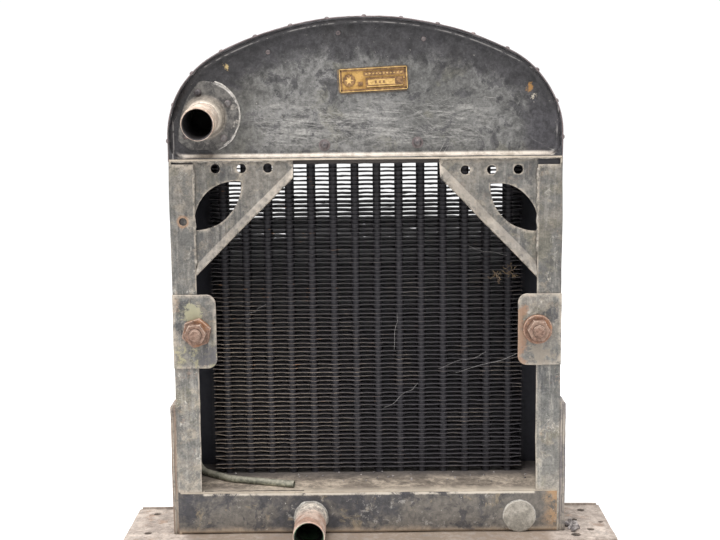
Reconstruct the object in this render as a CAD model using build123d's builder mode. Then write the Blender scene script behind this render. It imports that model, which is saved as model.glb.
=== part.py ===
from build123d import *
import os
from math import atan2, cos, degrees, hypot, radians, sin, sqrt

# Arch-topped water radiator of a 1920s car, without its outer shell.
# Millimetres, +Z up, +X to the right as seen from the engine, +Y towards the front of the car.
# The origin is the middle of the base plate's underside.

# --- Driving dimensions -------------------------------------------------------------------------
SHEET = 1.2  # tank sheet
FRAME_T = 3.0  # posts and straps
GUSSET_T = 2.0

PLATE_LENGTH = 566.0
PLATE_DEPTH = 122.0
DECK = 3.0  # base plate thickness: everything else stands on it
FOOT_SPACING_X = 516.0
FOOT_SPACING_Y = 68.0
FOOT_HOLE_R = 4.5

BODY_HALF = 220.5  # half the width of the body
BODY_DEPTH = 118.0
REAR = 28.0 - PLATE_DEPTH / 2  # the engine-side face
FRONT = REAR + BODY_DEPTH

TANK_HEIGHT = 50.4  # bottom tank
TANK_WALL = 2.0
HEADER_T = 2.0
TANK_TOP = DECK + TANK_HEIGHT
ARCH_BASE = DECK + 434.5  # lower edge of the top tank
CROWN = DECK + 590.0
CROWN_R = 360.0
CORNER_R = 105.0
RECESS = 9.0  # how far the rear panel lies inside its border
FRONT_RECESS = 4.0

CORE_HALF = 185.0
CORE_REAR = REAR + 72.0
CORE_DEPTH = 40.0
FIN_COUNT = 73
FIN_T = 0.35
FIN_LOW = DECK + 57.0
FIN_HIGH = DECK + 424.0
TUBE_COLUMNS = 14
TUBE_PITCH = 26.0
TUBE_R = 4.65
TUBE_BORE_R = 4.2
ROW_PITCH = 13.0

HOSE_R = 18.0  # outside of both hose stubs
HOSE_BORE_R = 16.0
SPIGOT_R = 17.0  # the thinner end that sits in its wall

STUD_R = 7.0
STUD_X = 193.0
STUD_Z = DECK + 239.0

RIVET_COUNT = 15
RIVET_PITCH = 41.0

CORNER_X = BODY_HALF - CORNER_R
CROWN_Z = CROWN - CROWN_R
CORNER_Z = CROWN_Z + sqrt((CROWN_R - CORNER_R) ** 2 - CORNER_X**2)
CORNER_ANGLE = degrees(atan2(CORNER_Z - CROWN_Z, CORNER_X))


# --- Shared shapes ------------------------------------------------------------------------------
def facing_rear(y):
    """Plane at Y = y with x to the right and y up: a negative extrusion goes towards the front."""
    return Plane.XZ.offset(-y)


def arch(inset, bottom, corner=0.0):
    """The body's arched outline, inset from its outer surface, with rounded lower corners."""
    side = BODY_HALF - inset
    with BuildSketch() as outline:
        with BuildLine():
            Line((-side, CORNER_Z), (-side, bottom))
            Line((-side, bottom), (side, bottom))
            Line((side, bottom), (side, CORNER_Z))
            CenterArc((CORNER_X, CORNER_Z), CORNER_R - inset, 0, CORNER_ANGLE)
            CenterArc((0, CROWN_Z), CROWN_R - inset, CORNER_ANGLE, 180 - 2 * CORNER_ANGLE)
            CenterArc((-CORNER_X, CORNER_Z), CORNER_R - inset, 180 - CORNER_ANGLE, CORNER_ANGLE)
        make_face()
        if corner:
            fillet(outline.vertices().group_by(Axis.Y)[0], corner)
    return outline.sketch


def pan(rim_y, inward, inset, corner, depth, bend):
    """A solid with the arch outline whose far edges are rounded, as a pressing leaves them."""
    with BuildPart() as body:
        with BuildSketch(facing_rear(rim_y)):
            add(arch(inset, ARCH_BASE + inset - SHEET, corner))
        extrude(amount=-inward * depth)
        far_face = body.faces().sort_by(Axis.Y)[-1 if inward > 0 else 0]
        fillet(far_face.edges(), bend)
    return body.part


def drill_y(points, radius, low, high):
    """Round holes along Y through the part being built, at (x, z) points."""
    with Locations([(x, (low + high) / 2, z) for x, z in points]):
        Cylinder(radius, high - low, rotation=(90, 0, 0), mode=Mode.SUBTRACT)


def drill_z(points, radius, low, high):
    """Round holes along Z through the part being built, at (x, y) points."""
    with Locations([(x, y, (low + high) / 2) for x, y in points]):
        Cylinder(radius, high - low, mode=Mode.SUBTRACT)


def drill_x(points, radius, low, high):
    """Round holes along X through the part being built, at (y, z) points."""
    with Locations([((low + high) / 2, y, z) for y, z in points]):
        Cylinder(radius, high - low, rotation=(0, 90, 0), mode=Mode.SUBTRACT)


def slab(x, y, z):
    """Box between two limits along each axis."""
    (x0, x1), (y0, y1), (z0, z1) = sorted(x), sorted(y), sorted(z)
    with Locations(((x0 + x1) / 2, (y0 + y1) / 2, (z0 + z1) / 2)):
        Box(x1 - x0, y1 - y0, z1 - z0)


def rivet(head_r, head_h, shank_r, grip):
    """Round-headed rivet on the Z axis: the head stands on Z = 0 and the shank goes down by grip."""
    flat = 0.1 * head_r
    edge = 0.15 * head_h
    with BuildPart() as body:
        with BuildSketch(Plane.XZ):
            with BuildLine():
                Polyline((flat, head_h), (0, head_h), (0, -grip), (shank_r, -grip))
                Polyline((shank_r, -grip), (shank_r, 0), (head_r, 0), (head_r, edge))
                ThreePointArc((head_r, edge), (0.74 * head_r, 0.72 * head_h), (flat, head_h))
            make_face()
        revolve(axis=Axis.Z)
    return body.part


def hexagon(across, height, bore_r):
    """Hexagonal nut on Z = 0 to height with its corners turned off at both ends; bore_r may be 0."""
    with BuildPart() as blank:
        Cylinder(across / 2 / cos(radians(30)), height, align=(Align.CENTER, Align.CENTER, Align.MIN))
        chamfer(blank.edges().filter_by(GeomType.CIRCLE), 0.04 * across, 0.07 * across)
    with BuildPart() as body:
        with BuildSketch():
            RegularPolygon(across / 2, 6, major_radius=False)
        extrude(amount=height)
        add(blank.part, mode=Mode.INTERSECT)
        if bore_r:
            drill_z([(0, 0)], bore_r, -1, height + 1)
    return body.part


def rearward(x, y, z, turn=0.0):
    """Location whose own Z axis points to the rear, turned about it."""
    across = (cos(radians(turn)), 0, sin(radians(turn)))
    return Plane(origin=(x, y, z), x_dir=across, z_dir=(0, -1, 0)).location


def finish(body, name):
    """Label a sub-part and write it."""
    body.part.label = name
    export_step(body.part, f"parts/{name}.step")


os.makedirs("parts", exist_ok=True)

# --- Points that several sub-parts share --------------------------------------------------------
PANEL_Y = REAR + RECESS  # outer surface of the rear panel
PANEL_BACK = PANEL_Y + SHEET
FRONT_PANEL_BACK = FRONT - FRONT_RECESS - SHEET

INLET = (-179.0, DECK + 481.4)
INLET_DROOP = 6.0
INLET_RIVETS = [(-185.8, 508.5), (-152.9, 495.8), (-158.5, 457.5), (-200.5, 461.0)]
INLET_RIVETS = [(x, DECK + z) for x, z in INLET_RIVETS]
STAYS = [(-45.6, DECK + 448.6), (58.6, DECK + 450.5)]
PANEL_RIVETS = [(-107.0, DECK + 552.0), (-28.6, DECK + 572.0), (66.0, DECK + 564.5)]
PLAQUE = (9.8, DECK + 521.0)
PLAQUE_TURN = 2.6
PLAQUE_PIN_X = 34.0
PLAQUE_PINS = [
    (
        PLAQUE[0] + side * PLAQUE_PIN_X * cos(radians(PLAQUE_TURN)),
        PLAQUE[1] + side * PLAQUE_PIN_X * sin(radians(PLAQUE_TURN)),
    )
    for side in (-1, 1)
]
INLET_RIVET_R, STAY_R, PANEL_RIVET_R, PIN_R, WRAP_RIVET_R = 2.0, 3.0, 1.4, 0.9, 1.4

TUBE_XS = [(i - (TUBE_COLUMNS - 1) / 2) * TUBE_PITCH for i in range(TUBE_COLUMNS)]
TUBE_ROWS = {"rear": -ROW_PITCH, "middle": 0.0, "front": ROW_PITCH}
CORE_MIDDLE = CORE_REAR + CORE_DEPTH / 2
TUBE_POINTS = [(x, CORE_MIDDLE + dy) for dy in TUBE_ROWS.values() for x in TUBE_XS]

OVERFLOW_R = 4.0
OVERFLOW_BORE_R = 3.0
OVERFLOW_X = -208.0
OVERFLOW_Y = REAR + 78.0
LAY_Z = TANK_TOP + OVERFLOW_R + 0.05

OUTLET = (-67.0, DECK + 19.5)
BLANK = (174.0, DECK + 18.9)
STRAP_T = 6.5
STRAP_RIVET_R = 2.5
STRAP_RIVETS = [(REAR + 17.0, DECK + z) for z in (17.0, 74.0, 131.0)]
TAP = (150.0, DECK + 14.0)
TAP_SPIGOT_R = 6.0


def wrap_point(arc_length):
    """(x, z, outward angle, side) on the outer surface, arc_length along the arch from its crown."""
    side = 1 if arc_length >= 0 else -1
    left = abs(arc_length)
    crown_span = CROWN_R * radians(90 - CORNER_ANGLE)
    corner_span = CORNER_R * radians(CORNER_ANGLE)
    if left <= crown_span:
        angle = radians(90) - left / CROWN_R
        return side * CROWN_R * cos(angle), CROWN_Z + CROWN_R * sin(angle), angle, side
    if left <= crown_span + corner_span:
        angle = radians(CORNER_ANGLE) - (left - crown_span) / CORNER_R
        return side * (CORNER_X + CORNER_R * cos(angle)), CORNER_Z + CORNER_R * sin(angle), angle, side
    return side * BODY_HALF, CORNER_Z - (left - crown_span - corner_span), 0.0, side


def wrap_location(arc_length, y):
    """Location on the wrap's outer surface whose own Z axis points outwards."""
    x, z, angle, side = wrap_point(arc_length)
    outward = (side * cos(angle), 0, sin(angle))
    return Plane(origin=(x, y, z), x_dir=(0, 1, 0), z_dir=outward).location


WRAP_RIVETS = [
    wrap_location((i - (RIVET_COUNT - 1) / 2) * RIVET_PITCH, REAR + 4.0) for i in range(RIVET_COUNT)
]


# --- Top tank -----------------------------------------------------------------------------------
PAN_CORNER = 14.0
REAR_BEND = 6.2
FRONT_BEND = 2.6
INLET_AXIS = (0, -cos(radians(INLET_DROOP)), -sin(radians(INLET_DROOP)))
INLET_PLANE = Plane(origin=(INLET[0], PANEL_Y, INLET[1]), x_dir=(1, 0, 0), z_dir=INLET_AXIS)


def tank_panel(rim_y, inward, recess, bend):
    """Pressed end panel: a flat face set back from a rounded border and a thin outer flange."""
    with BuildPart() as body:
        add(pan(rim_y, inward, SHEET, PAN_CORNER + SHEET, recess + SHEET, bend + SHEET))
        with BuildSketch(facing_rear(rim_y)):
            add(arch(SHEET, ARCH_BASE))
        extrude(amount=-inward * SHEET)
        add(pan(rim_y, inward, 2 * SHEET, PAN_CORNER, recess, bend), mode=Mode.SUBTRACT)
    return body.part


with BuildPart() as rear_panel:
    add(tank_panel(REAR, 1, RECESS, REAR_BEND))
    drill_y(INLET_RIVETS, INLET_RIVET_R, REAR, PANEL_BACK + 1)
    drill_y(STAYS, STAY_R, REAR, PANEL_BACK + 1)
    drill_y(PANEL_RIVETS, PANEL_RIVET_R, REAR, PANEL_BACK + 1)
    drill_y(PLAQUE_PINS, PIN_R, REAR, PANEL_BACK + 1)
    with BuildSketch(INLET_PLANE.offset(-8)):
        Circle(SPIGOT_R)
    extrude(amount=16, mode=Mode.SUBTRACT)
    with Locations(*WRAP_RIVETS):
        Cylinder(WRAP_RIVET_R, 12, mode=Mode.SUBTRACT)
finish(rear_panel, "top_tank_rear_panel")

with BuildPart() as front_panel:
    add(tank_panel(FRONT, -1, FRONT_RECESS, FRONT_BEND))
    drill_y(STAYS, STAY_R, FRONT_PANEL_BACK - 1, FRONT)
finish(front_panel, "top_tank_front_panel")

FILLER_Y = REAR + 60.0
FILLER_R = 27.0
FILLER_BORE_R = 20.0
FILLER_PROUD = 1.8
FILLER_DROP = 10.0

with BuildPart() as wrap:
    with BuildSketch(facing_rear(REAR)):
        add(arch(0, ARCH_BASE - HEADER_T))
        add(arch(SHEET, ARCH_BASE - HEADER_T - 1), mode=Mode.SUBTRACT)
    extrude(amount=-BODY_DEPTH)
    with Locations(*WRAP_RIVETS):
        Cylinder(WRAP_RIVET_R, 8, mode=Mode.SUBTRACT)
    drill_z([(0, FILLER_Y)], FILLER_R, CROWN - 20, CROWN + 20)
finish(wrap, "top_tank_wrap")

with BuildPart() as wrap_rivets:
    with Locations(*WRAP_RIVETS):
        add(rivet(2.7, 1.9, WRAP_RIVET_R, 2 * SHEET))
finish(wrap_rivets, "wrap_rivets")

with BuildPart() as filler_bush:
    with BuildSketch(Plane.XY.offset(CROWN - FILLER_DROP)):
        with Locations((0, FILLER_Y)):
            Circle(FILLER_R)
            Circle(FILLER_BORE_R, mode=Mode.SUBTRACT)
    extrude(amount=FILLER_DROP + FILLER_PROUD)
    chamfer(filler_bush.edges().group_by(Axis.Z)[-1].sort_by(SortBy.LENGTH)[-1], 0.8)
finish(filler_bush, "filler_bush")

APRON = 7.5  # the header is turned down by this much to close the gap above the fins
APRON_HALF = 216.0
with BuildPart() as top_header:
    with BuildSketch(Plane.XY.offset(ARCH_BASE - HEADER_T)):
        with Locations((0, (REAR + FRONT) / 2)):
            Rectangle(2 * (BODY_HALF - SHEET), BODY_DEPTH)
        with Locations(*TUBE_POINTS):
            Circle(TUBE_R, mode=Mode.SUBTRACT)
        with Locations((OVERFLOW_X, OVERFLOW_Y)):
            Circle(OVERFLOW_R, mode=Mode.SUBTRACT)
    extrude(amount=HEADER_T)
    apron_top = ARCH_BASE - HEADER_T
    slab((-APRON_HALF, APRON_HALF), (CORE_REAR - 2.0, CORE_REAR - 0.8), (apron_top - APRON, apron_top))
finish(top_header, "top_header_plate")

# Perforated baffle that spreads the incoming water, soldered between the two panels.
BAFFLE_HALF = 130.0
BAFFLE_Z = DECK + 456.0
with BuildPart() as baffle:
    with BuildSketch(Plane.XY.offset(BAFFLE_Z)):
        with Locations((0, (PANEL_BACK + FRONT_PANEL_BACK) / 2)):
            Rectangle(2 * BAFFLE_HALF, FRONT_PANEL_BACK - PANEL_BACK)
            with GridLocations(40, 40, 6, 2):
                Circle(8, mode=Mode.SUBTRACT)
    extrude(amount=SHEET)
finish(baffle, "baffle_plate")

# --- Water inlet --------------------------------------------------------------------------------
INLET_DISC_R = 40.0
INLET_DISC_T = 1.5
CONE_BASE_R = 23.5
CONE_HEIGHT = 22.0
INLET_MOUTH = 67.5  # from the panel along the pipe

with BuildPart() as inlet_flange:
    with BuildSketch(facing_rear(PANEL_Y)):
        add(arch(SHEET + RECESS + 1.0, ARCH_BASE + RECESS + 1.0))
        with Locations(INLET):
            Circle(INLET_DISC_R, mode=Mode.INTERSECT)
    extrude(amount=INLET_DISC_T)
    with BuildSketch(INLET_PLANE.offset(0.5)):
        Circle(CONE_BASE_R)
    with BuildSketch(INLET_PLANE.offset(CONE_HEIGHT)):
        Circle(HOSE_R + 0.6)
    loft()
    with BuildSketch(facing_rear(PANEL_Y)):
        with Locations(INLET):
            Circle(INLET_DISC_R)
    extrude(amount=-6, mode=Mode.SUBTRACT)
    with BuildSketch(INLET_PLANE.offset(-8)):
        Circle(SPIGOT_R)
    extrude(amount=CONE_HEIGHT + 20, mode=Mode.SUBTRACT)
    drill_y(INLET_RIVETS, INLET_RIVET_R, PANEL_Y - 4, PANEL_Y + 1)
finish(inlet_flange, "inlet_flange")


def hose_stub(start, free_length, spigot_length):
    """Hose stub from the plane start: a thinner spigot behind it and the free pipe in front."""
    with BuildPart() as body:
        with BuildSketch(start):
            Circle(HOSE_R)
        extrude(amount=free_length)
        with BuildSketch(start):
            Circle(SPIGOT_R)
        extrude(amount=-spigot_length)
        with BuildSketch(start.offset(-spigot_length)):
            Circle(HOSE_BORE_R)
        extrude(amount=spigot_length + free_length, mode=Mode.SUBTRACT)
    return body.part


with BuildPart() as inlet_pipe:
    add(hose_stub(INLET_PLANE.offset(CONE_HEIGHT), INLET_MOUTH - CONE_HEIGHT, CONE_HEIGHT + 8))
finish(inlet_pipe, "inlet_pipe")

with BuildPart() as inlet_rivets:
    with Locations(*[rearward(x, PANEL_Y - INLET_DISC_T, z) for x, z in INLET_RIVETS]):
        add(rivet(3.9, 2.4, INLET_RIVET_R, INLET_DISC_T + SHEET))
finish(inlet_rivets, "inlet_rivets")

# --- Data plate, stays and small rivets of the top tank -----------------------------------------
PLAQUE_SIZE = (75.5, 25.5)
PLAQUE_T = 1.0
PLAQUE_RIM = 0.6

with BuildPart() as data_plate:
    with BuildSketch(facing_rear(PANEL_Y)):
        with Locations(Location((*PLAQUE, 0), (0, 0, PLAQUE_TURN))):
            RectangleRounded(*PLAQUE_SIZE, 1.0)
    extrude(amount=PLAQUE_T)
    with BuildSketch(facing_rear(PANEL_Y - PLAQUE_T)):
        with Locations(Location((*PLAQUE, 0), (0, 0, PLAQUE_TURN))):
            RectangleRounded(*PLAQUE_SIZE, 1.0)
            Rectangle(PLAQUE_SIZE[0] - 4, PLAQUE_SIZE[1] - 4, mode=Mode.SUBTRACT)
    extrude(amount=PLAQUE_RIM)
    drill_y(PLAQUE_PINS, PIN_R, PANEL_Y - 4, PANEL_Y + 1)
finish(data_plate, "data_plate")

with BuildPart() as data_plate_pins:
    with Locations(*[rearward(x, PANEL_Y - PLAQUE_T, z) for x, z in PLAQUE_PINS]):
        add(rivet(1.4, 0.8, PIN_R, PLAQUE_T + SHEET))
finish(data_plate_pins, "data_plate_pins")

WASHER_T = 1.0
STAY_SPAN = FRONT - FRONT_RECESS - PANEL_Y + 2 * WASHER_T
with BuildPart() as stay_rods:
    with Locations(*[rearward(x, PANEL_Y - WASHER_T, z) for x, z in STAYS]):
        add(rivet(4.6, 3.0, STAY_R, STAY_SPAN))
    with Locations(*[(x, PANEL_Y - WASHER_T + STAY_SPAN + 1.5, z) for x, z in STAYS]):
        Cylinder(4.6, 3.0, rotation=(90, 0, 0))
finish(stay_rods, "tank_stay_rods")

with BuildPart() as stay_washers:
    for face_y in (PANEL_Y - WASHER_T, FRONT - FRONT_RECESS):
        with BuildSketch(facing_rear(face_y)):
            with Locations(*STAYS):
                Circle(6.5)
                Circle(STAY_R, mode=Mode.SUBTRACT)
        extrude(amount=-WASHER_T)
finish(stay_washers, "stay_washers")

BACKING_T = 1.5
with BuildPart() as panel_rivets:
    with Locations(*[rearward(x, PANEL_Y, z) for x, z in PANEL_RIVETS]):
        add(rivet(2.6, 1.5, PANEL_RIVET_R, SHEET + BACKING_T))
finish(panel_rivets, "panel_rivets")

with BuildPart() as backing_plates:
    with BuildSketch(facing_rear(PANEL_BACK)):
        with Locations(*PANEL_RIVETS):
            Rectangle(16, 14)
            Circle(PANEL_RIVET_R, mode=Mode.SUBTRACT)
    extrude(amount=-BACKING_T)
finish(backing_plates, "rivet_backing_plates")

# --- Core ---------------------------------------------------------------------------------------
TUBE_END_LOW = TANK_TOP - HEADER_T - 3.0
TUBE_END_HIGH = ARCH_BASE + 3.0
for row, dy in TUBE_ROWS.items():
    with BuildPart() as tubes:
        with BuildSketch(Plane.XY.offset(TUBE_END_LOW)):
            with Locations(*[(x, CORE_MIDDLE + dy) for x in TUBE_XS]):
                Circle(TUBE_R)
                Circle(TUBE_BORE_R, mode=Mode.SUBTRACT)
        extrude(amount=TUBE_END_HIGH - TUBE_END_LOW)
    finish(tubes, f"core_tubes_{row}")

FIN_CLEARANCE = 0.05
with BuildPart() as fins:
    with BuildSketch(Plane.XY.offset(FIN_LOW)):
        with Locations((0, CORE_MIDDLE)):
            Rectangle(2 * CORE_HALF, CORE_DEPTH)
        with Locations(*TUBE_POINTS):
            Circle(TUBE_R + FIN_CLEARANCE, mode=Mode.SUBTRACT)
    extrude(amount=FIN_T)
fin = fins.part
FIN_PITCH = (FIN_HIGH - FIN_LOW - FIN_T) / (FIN_COUNT - 1)
fins.part = Compound(children=[Pos(0, 0, i * FIN_PITCH) * fin.solid() for i in range(FIN_COUNT)])
finish(fins, "core_fins")

# --- Side posts and gussets ---------------------------------------------------------------------
REAR_FLANGE = 28.0
FRONT_FLANGE = 42.5
POST_TOP = {"left": DECK + 429.0, "right": DECK + 424.5}
SIDE = {"left": -1, "right": 1}
WEB_TOP = ARCH_BASE - HEADER_T
POST_HOLE = (-205.8, DECK + 364.5)
POST_HOLE_R = 4.5
BEND_R = 2.5

for name, s in SIDE.items():
    outer = s * BODY_HALF
    with BuildPart() as post:
        slab((outer, outer - s * FRAME_T), (REAR, FRONT), (DECK, WEB_TOP))
        slab((outer, outer - s * REAR_FLANGE), (REAR, REAR + FRAME_T), (TANK_TOP, POST_TOP[name]))
        slab((outer, outer - s * FRONT_FLANGE), (FRONT - FRAME_T, FRONT), (TANK_TOP, POST_TOP[name]))
        corners = post.edges().filter_by(Axis.Z).filter_by(lambda e: abs(e.center().X) > BODY_HALF - 0.1)
        fillet(corners, BEND_R)
        drill_y([(s * STUD_X, STUD_Z)], STUD_R + 0.3, REAR - 1, REAR + FRAME_T + 1)
        drill_x(STRAP_RIVETS, STRAP_RIVET_R, outer - 5, outer + 5)
        if name == "left":
            drill_y([POST_HOLE], POST_HOLE_R, REAR - 1, REAR + FRAME_T + 1)
            with Locations((outer, REAR, DECK)):
                Box(3 * FRAME_T, 2 * TANK_WALL, 2 * TANK_HEIGHT, mode=Mode.SUBTRACT)
    finish(post, f"{name}_post")

GUSSET_REACH = {"left": 81.5, "right": 83.0}  # inner end, from the centre line
GUSSET_NOSE = {"left": DECK + 412.2, "right": DECK + 411.4}
GUSSET_HEEL = {"left": DECK + 304.4, "right": DECK + 299.6}
GUSSET_FOOT = 191.0  # outer end of the sloping edge, from the centre line
GUSSET_LIP = {"left": 9.5, "right": 12.5}  # width of the lip that the sloping edge is bent into
GUSSET_LIP_LEAN = 35.0  # how far it is bent out to the rear
HOLE_PITCH = 29.5
GUSSET_HOLES = {"left": (-168.6, DECK + 424.0), "right": (111.7, DECK + 419.3)}
GUSSET_HOLE_R = 5.3
LENS_DROP = {"left": 0.0, "right": -5.0}

lean = radians(GUSSET_LIP_LEAN)
LIP_END = BODY_HALF - REAR_FLANGE - 0.4

for name, s in SIDE.items():
    reach, nose, heel, lip_width = GUSSET_REACH[name], GUSSET_NOSE[name], GUSSET_HEEL[name], GUSSET_LIP[name]
    lip_top = (lip_width * cos(lean), lip_width * sin(lean))
    lip_under = (lip_top[0] + GUSSET_T * sin(lean), lip_top[1] - GUSSET_T * cos(lean))
    lip_root = (lip_under[0] - (lip_under[1] + GUSSET_T) / sin(lean) * cos(lean), -GUSSET_T)
    lip_section = [(-1, -GUSSET_T), (-1, 0), (0, 0), lip_top, lip_under, lip_root]
    lip_run, lip_fall = GUSSET_FOOT - reach, nose - heel
    lip_span = hypot(lip_run, lip_fall)
    fold_rise = lip_under[0] * lip_span / lip_run  # the fold lies this much above the sloping edge
    fold_plane = Plane(
        origin=(s * reach, REAR + FRAME_T, nose + fold_rise),
        x_dir=(-s * lip_fall / lip_span, 0, -lip_run / lip_span),
        z_dir=(s * lip_run / lip_span, 0, -lip_fall / lip_span),
    )
    with BuildPart() as lip:
        with BuildSketch(fold_plane):
            with BuildLine():
                Polyline(*[(u, -s * v) for u, v in lip_section], close=True)
            make_face()
        extrude(amount=lip_span + 20, both=True)
        with Locations((s * (reach + LIP_END) / 2, REAR, nose)):
            Box(LIP_END - reach, 60, 400, mode=Mode.INTERSECT)
    with BuildPart() as gusset:
        with BuildSketch(facing_rear(REAR + FRAME_T)):
            with BuildLine():
                Polyline(
                    (s * reach, WEB_TOP),
                    (s * reach, nose + fold_rise),
                    (s * GUSSET_FOOT, heel + fold_rise),
                    (s * (BODY_HALF - FRAME_T), heel),
                    (s * (BODY_HALF - FRAME_T), WEB_TOP),
                    close=True,
                )
            make_face()
        extrude(amount=-GUSSET_T)
        add(lip.part)
        drop = LENS_DROP[name]
        with BuildSketch(facing_rear(REAR)) as lens:
            with BuildLine():
                low_tip = (s * 193.0, DECK + 355.0 + drop)
                high_tip = (s * 139.5, DECK + 409.5 + drop)
                ThreePointArc(low_tip, (s * 181.0, DECK + 394.5 + drop), high_tip)
                ThreePointArc(high_tip, (s * 155.0, DECK + 370.0 + drop), low_tip)
            make_face()
            fillet(lens.vertices(), 2.0)
        extrude(amount=-10, mode=Mode.SUBTRACT)
        first_x, hole_z = GUSSET_HOLES[name]
        drill_y([(first_x + i * HOLE_PITCH, hole_z) for i in range(3)], GUSSET_HOLE_R, REAR, REAR + 8)
    finish(gusset, f"{name}_gusset")

# --- Mounting studs on the posts ----------------------------------------------------------------
BRACKET_T = 2.0
BRACKET_EDGE = 171.0
BRACKET_LOW = DECK + 197.5
BRACKET_HIGH = {"left": DECK + 282.0, "right": DECK + 279.6}
BRACKET_CORNER = 11.0

for name, s in SIDE.items():
    with BuildPart() as bracket:
        with BuildSketch(facing_rear(REAR)) as outline:
            height = BRACKET_HIGH[name] - BRACKET_LOW
            with Locations((s * (BRACKET_EDGE + BODY_HALF) / 2, BRACKET_LOW + height / 2)):
                Rectangle(BODY_HALF - BRACKET_EDGE, height)
            inner = outline.vertices().filter_by(lambda v: abs(v.X) < BRACKET_EDGE + 1)
            fillet(inner, BRACKET_CORNER)
        extrude(amount=BRACKET_T)
        drill_y([(s * STUD_X, STUD_Z)], STUD_R, REAR - 5, REAR + 1)
    finish(bracket, f"{name}_bracket_plate")

HEAD_T, LOCK_NUT_T, WASHER_THICK, NUT_T, STUD_TIP = 8.0, 8.0, 5.0, 11.0, 4.0
STACK = {"left": LOCK_NUT_T, "right": WASHER_THICK}

with BuildPart() as stud_bolts:
    for name, s in SIDE.items():
        head_y = REAR + FRAME_T
        length = FRAME_T + BRACKET_T + STACK[name] + NUT_T + STUD_TIP
        with Locations(rearward(s * STUD_X, head_y + HEAD_T, STUD_Z, 12)):
            add(hexagon(22.0, HEAD_T, 0))
        with BuildPart(mode=Mode.PRIVATE) as shank:
            Cylinder(STUD_R, length, align=(Align.CENTER, Align.CENTER, Align.MIN))
            chamfer(shank.edges().filter_by(GeomType.CIRCLE).sort_by(Axis.Z)[-1], 1.7)
        with Locations(rearward(s * STUD_X, head_y, STUD_Z)):
            add(shank.part)
finish(stud_bolts, "stud_bolts")

with BuildPart() as lock_nut:
    with Locations(rearward(-STUD_X, REAR - BRACKET_T, STUD_Z, 18)):
        add(hexagon(30.0, LOCK_NUT_T, STUD_R))
finish(lock_nut, "left_lock_nut")

with BuildPart() as washer:
    with BuildSketch(facing_rear(REAR - BRACKET_T)):
        with Locations((STUD_X, STUD_Z)):
            Circle(16.5)
            Circle(STUD_R, mode=Mode.SUBTRACT)
    extrude(amount=WASHER_THICK)
    chamfer(washer.faces().sort_by(Axis.Y)[0].edges().sort_by(SortBy.LENGTH)[-1], 0.8)
finish(washer, "right_washer")

with BuildPart() as stud_nuts:
    for name, s in SIDE.items():
        with Locations(rearward(s * STUD_X, REAR - BRACKET_T - STACK[name], STUD_Z, -4 * s)):
            add(hexagon(22.0, NUT_T, STUD_R))
finish(stud_nuts, "stud_nuts")

# --- Side straps: hairpin-folded strip riveted to each post -------------------------------------
STRAP_HEIGHT = 153.0
STRAP_REAR = REAR + 2.0
STRAP_WIDTH = 30.0
FOLD_GAP = 0.4

for name, s in SIDE.items():
    with BuildPart() as strap:
        with BuildSketch(facing_rear(STRAP_REAR)) as profile:
            with Locations((s * (BODY_HALF + STRAP_T / 2), DECK + STRAP_HEIGHT / 2)):
                Rectangle(STRAP_T, STRAP_HEIGHT)
            top_corner = profile.vertices().sort_by(Axis.Y)[-2:].sort_by(Axis.X)[0 if s < 0 else -1]
            fillet(top_corner, STRAP_T / 2)
            with Locations((s * (BODY_HALF + STRAP_T / 2), DECK + (STRAP_HEIGHT - STRAP_T / 2) / 2)):
                Rectangle(FOLD_GAP, STRAP_HEIGHT - STRAP_T / 2, mode=Mode.SUBTRACT)
        extrude(amount=-STRAP_WIDTH)
        drill_x(STRAP_RIVETS, STRAP_RIVET_R, *sorted((s * (BODY_HALF - 1), s * (BODY_HALF + STRAP_T + 1))))
    finish(strap, f"{name}_side_strap")

with BuildPart() as strap_rivets:
    for s in SIDE.values():
        heads = [
            Plane(origin=(s * (BODY_HALF + STRAP_T), y, z), x_dir=(0, 1, 0), z_dir=(s, 0, 0)).location
            for y, z in STRAP_RIVETS
        ]
        with Locations(*heads):
            add(rivet(4.6, 2.4, STRAP_RIVET_R, STRAP_T + FRAME_T))
finish(strap_rivets, "strap_rivets")

# --- Base plate ---------------------------------------------------------------------------------
LIP_HEIGHT = 2.5
LIP_T = 2.0
EXTRA_HOLES = {(244.0, REAR + 39.6): 4.0, (274.5, REAR + 31.0): 3.0, (238.0, REAR - 12.0): 5.5}
FOOT_CENTRE_Y = REAR + 39.75

with BuildPart() as base_plate:
    with BuildSketch():
        RectangleRounded(PLATE_LENGTH, PLATE_DEPTH, 3.0)
    extrude(amount=DECK)
    for s in SIDE.values():
        lip_x = (s * (BODY_HALF + STRAP_T + 2), s * (PLATE_LENGTH / 2 - 3))
        slab(lip_x, (PLATE_DEPTH / 2 - LIP_T, PLATE_DEPTH / 2), (DECK, DECK + LIP_HEIGHT))
    with Locations((0, FOOT_CENTRE_Y, DECK / 2)):
        with GridLocations(FOOT_SPACING_X, FOOT_SPACING_Y, 2, 2):
            Cylinder(FOOT_HOLE_R, DECK + 2, mode=Mode.SUBTRACT)
    for point, radius in EXTRA_HOLES.items():
        drill_z([point], radius, -1, DECK + 1)
finish(base_plate, "base_plate")

# --- Bottom tank --------------------------------------------------------------------------------
TANK_HALF = BODY_HALF - FRAME_T
BLANK_HOLE_R = 15.0
BLANK_R = 18.5
BLANK_T = 1.6

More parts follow.
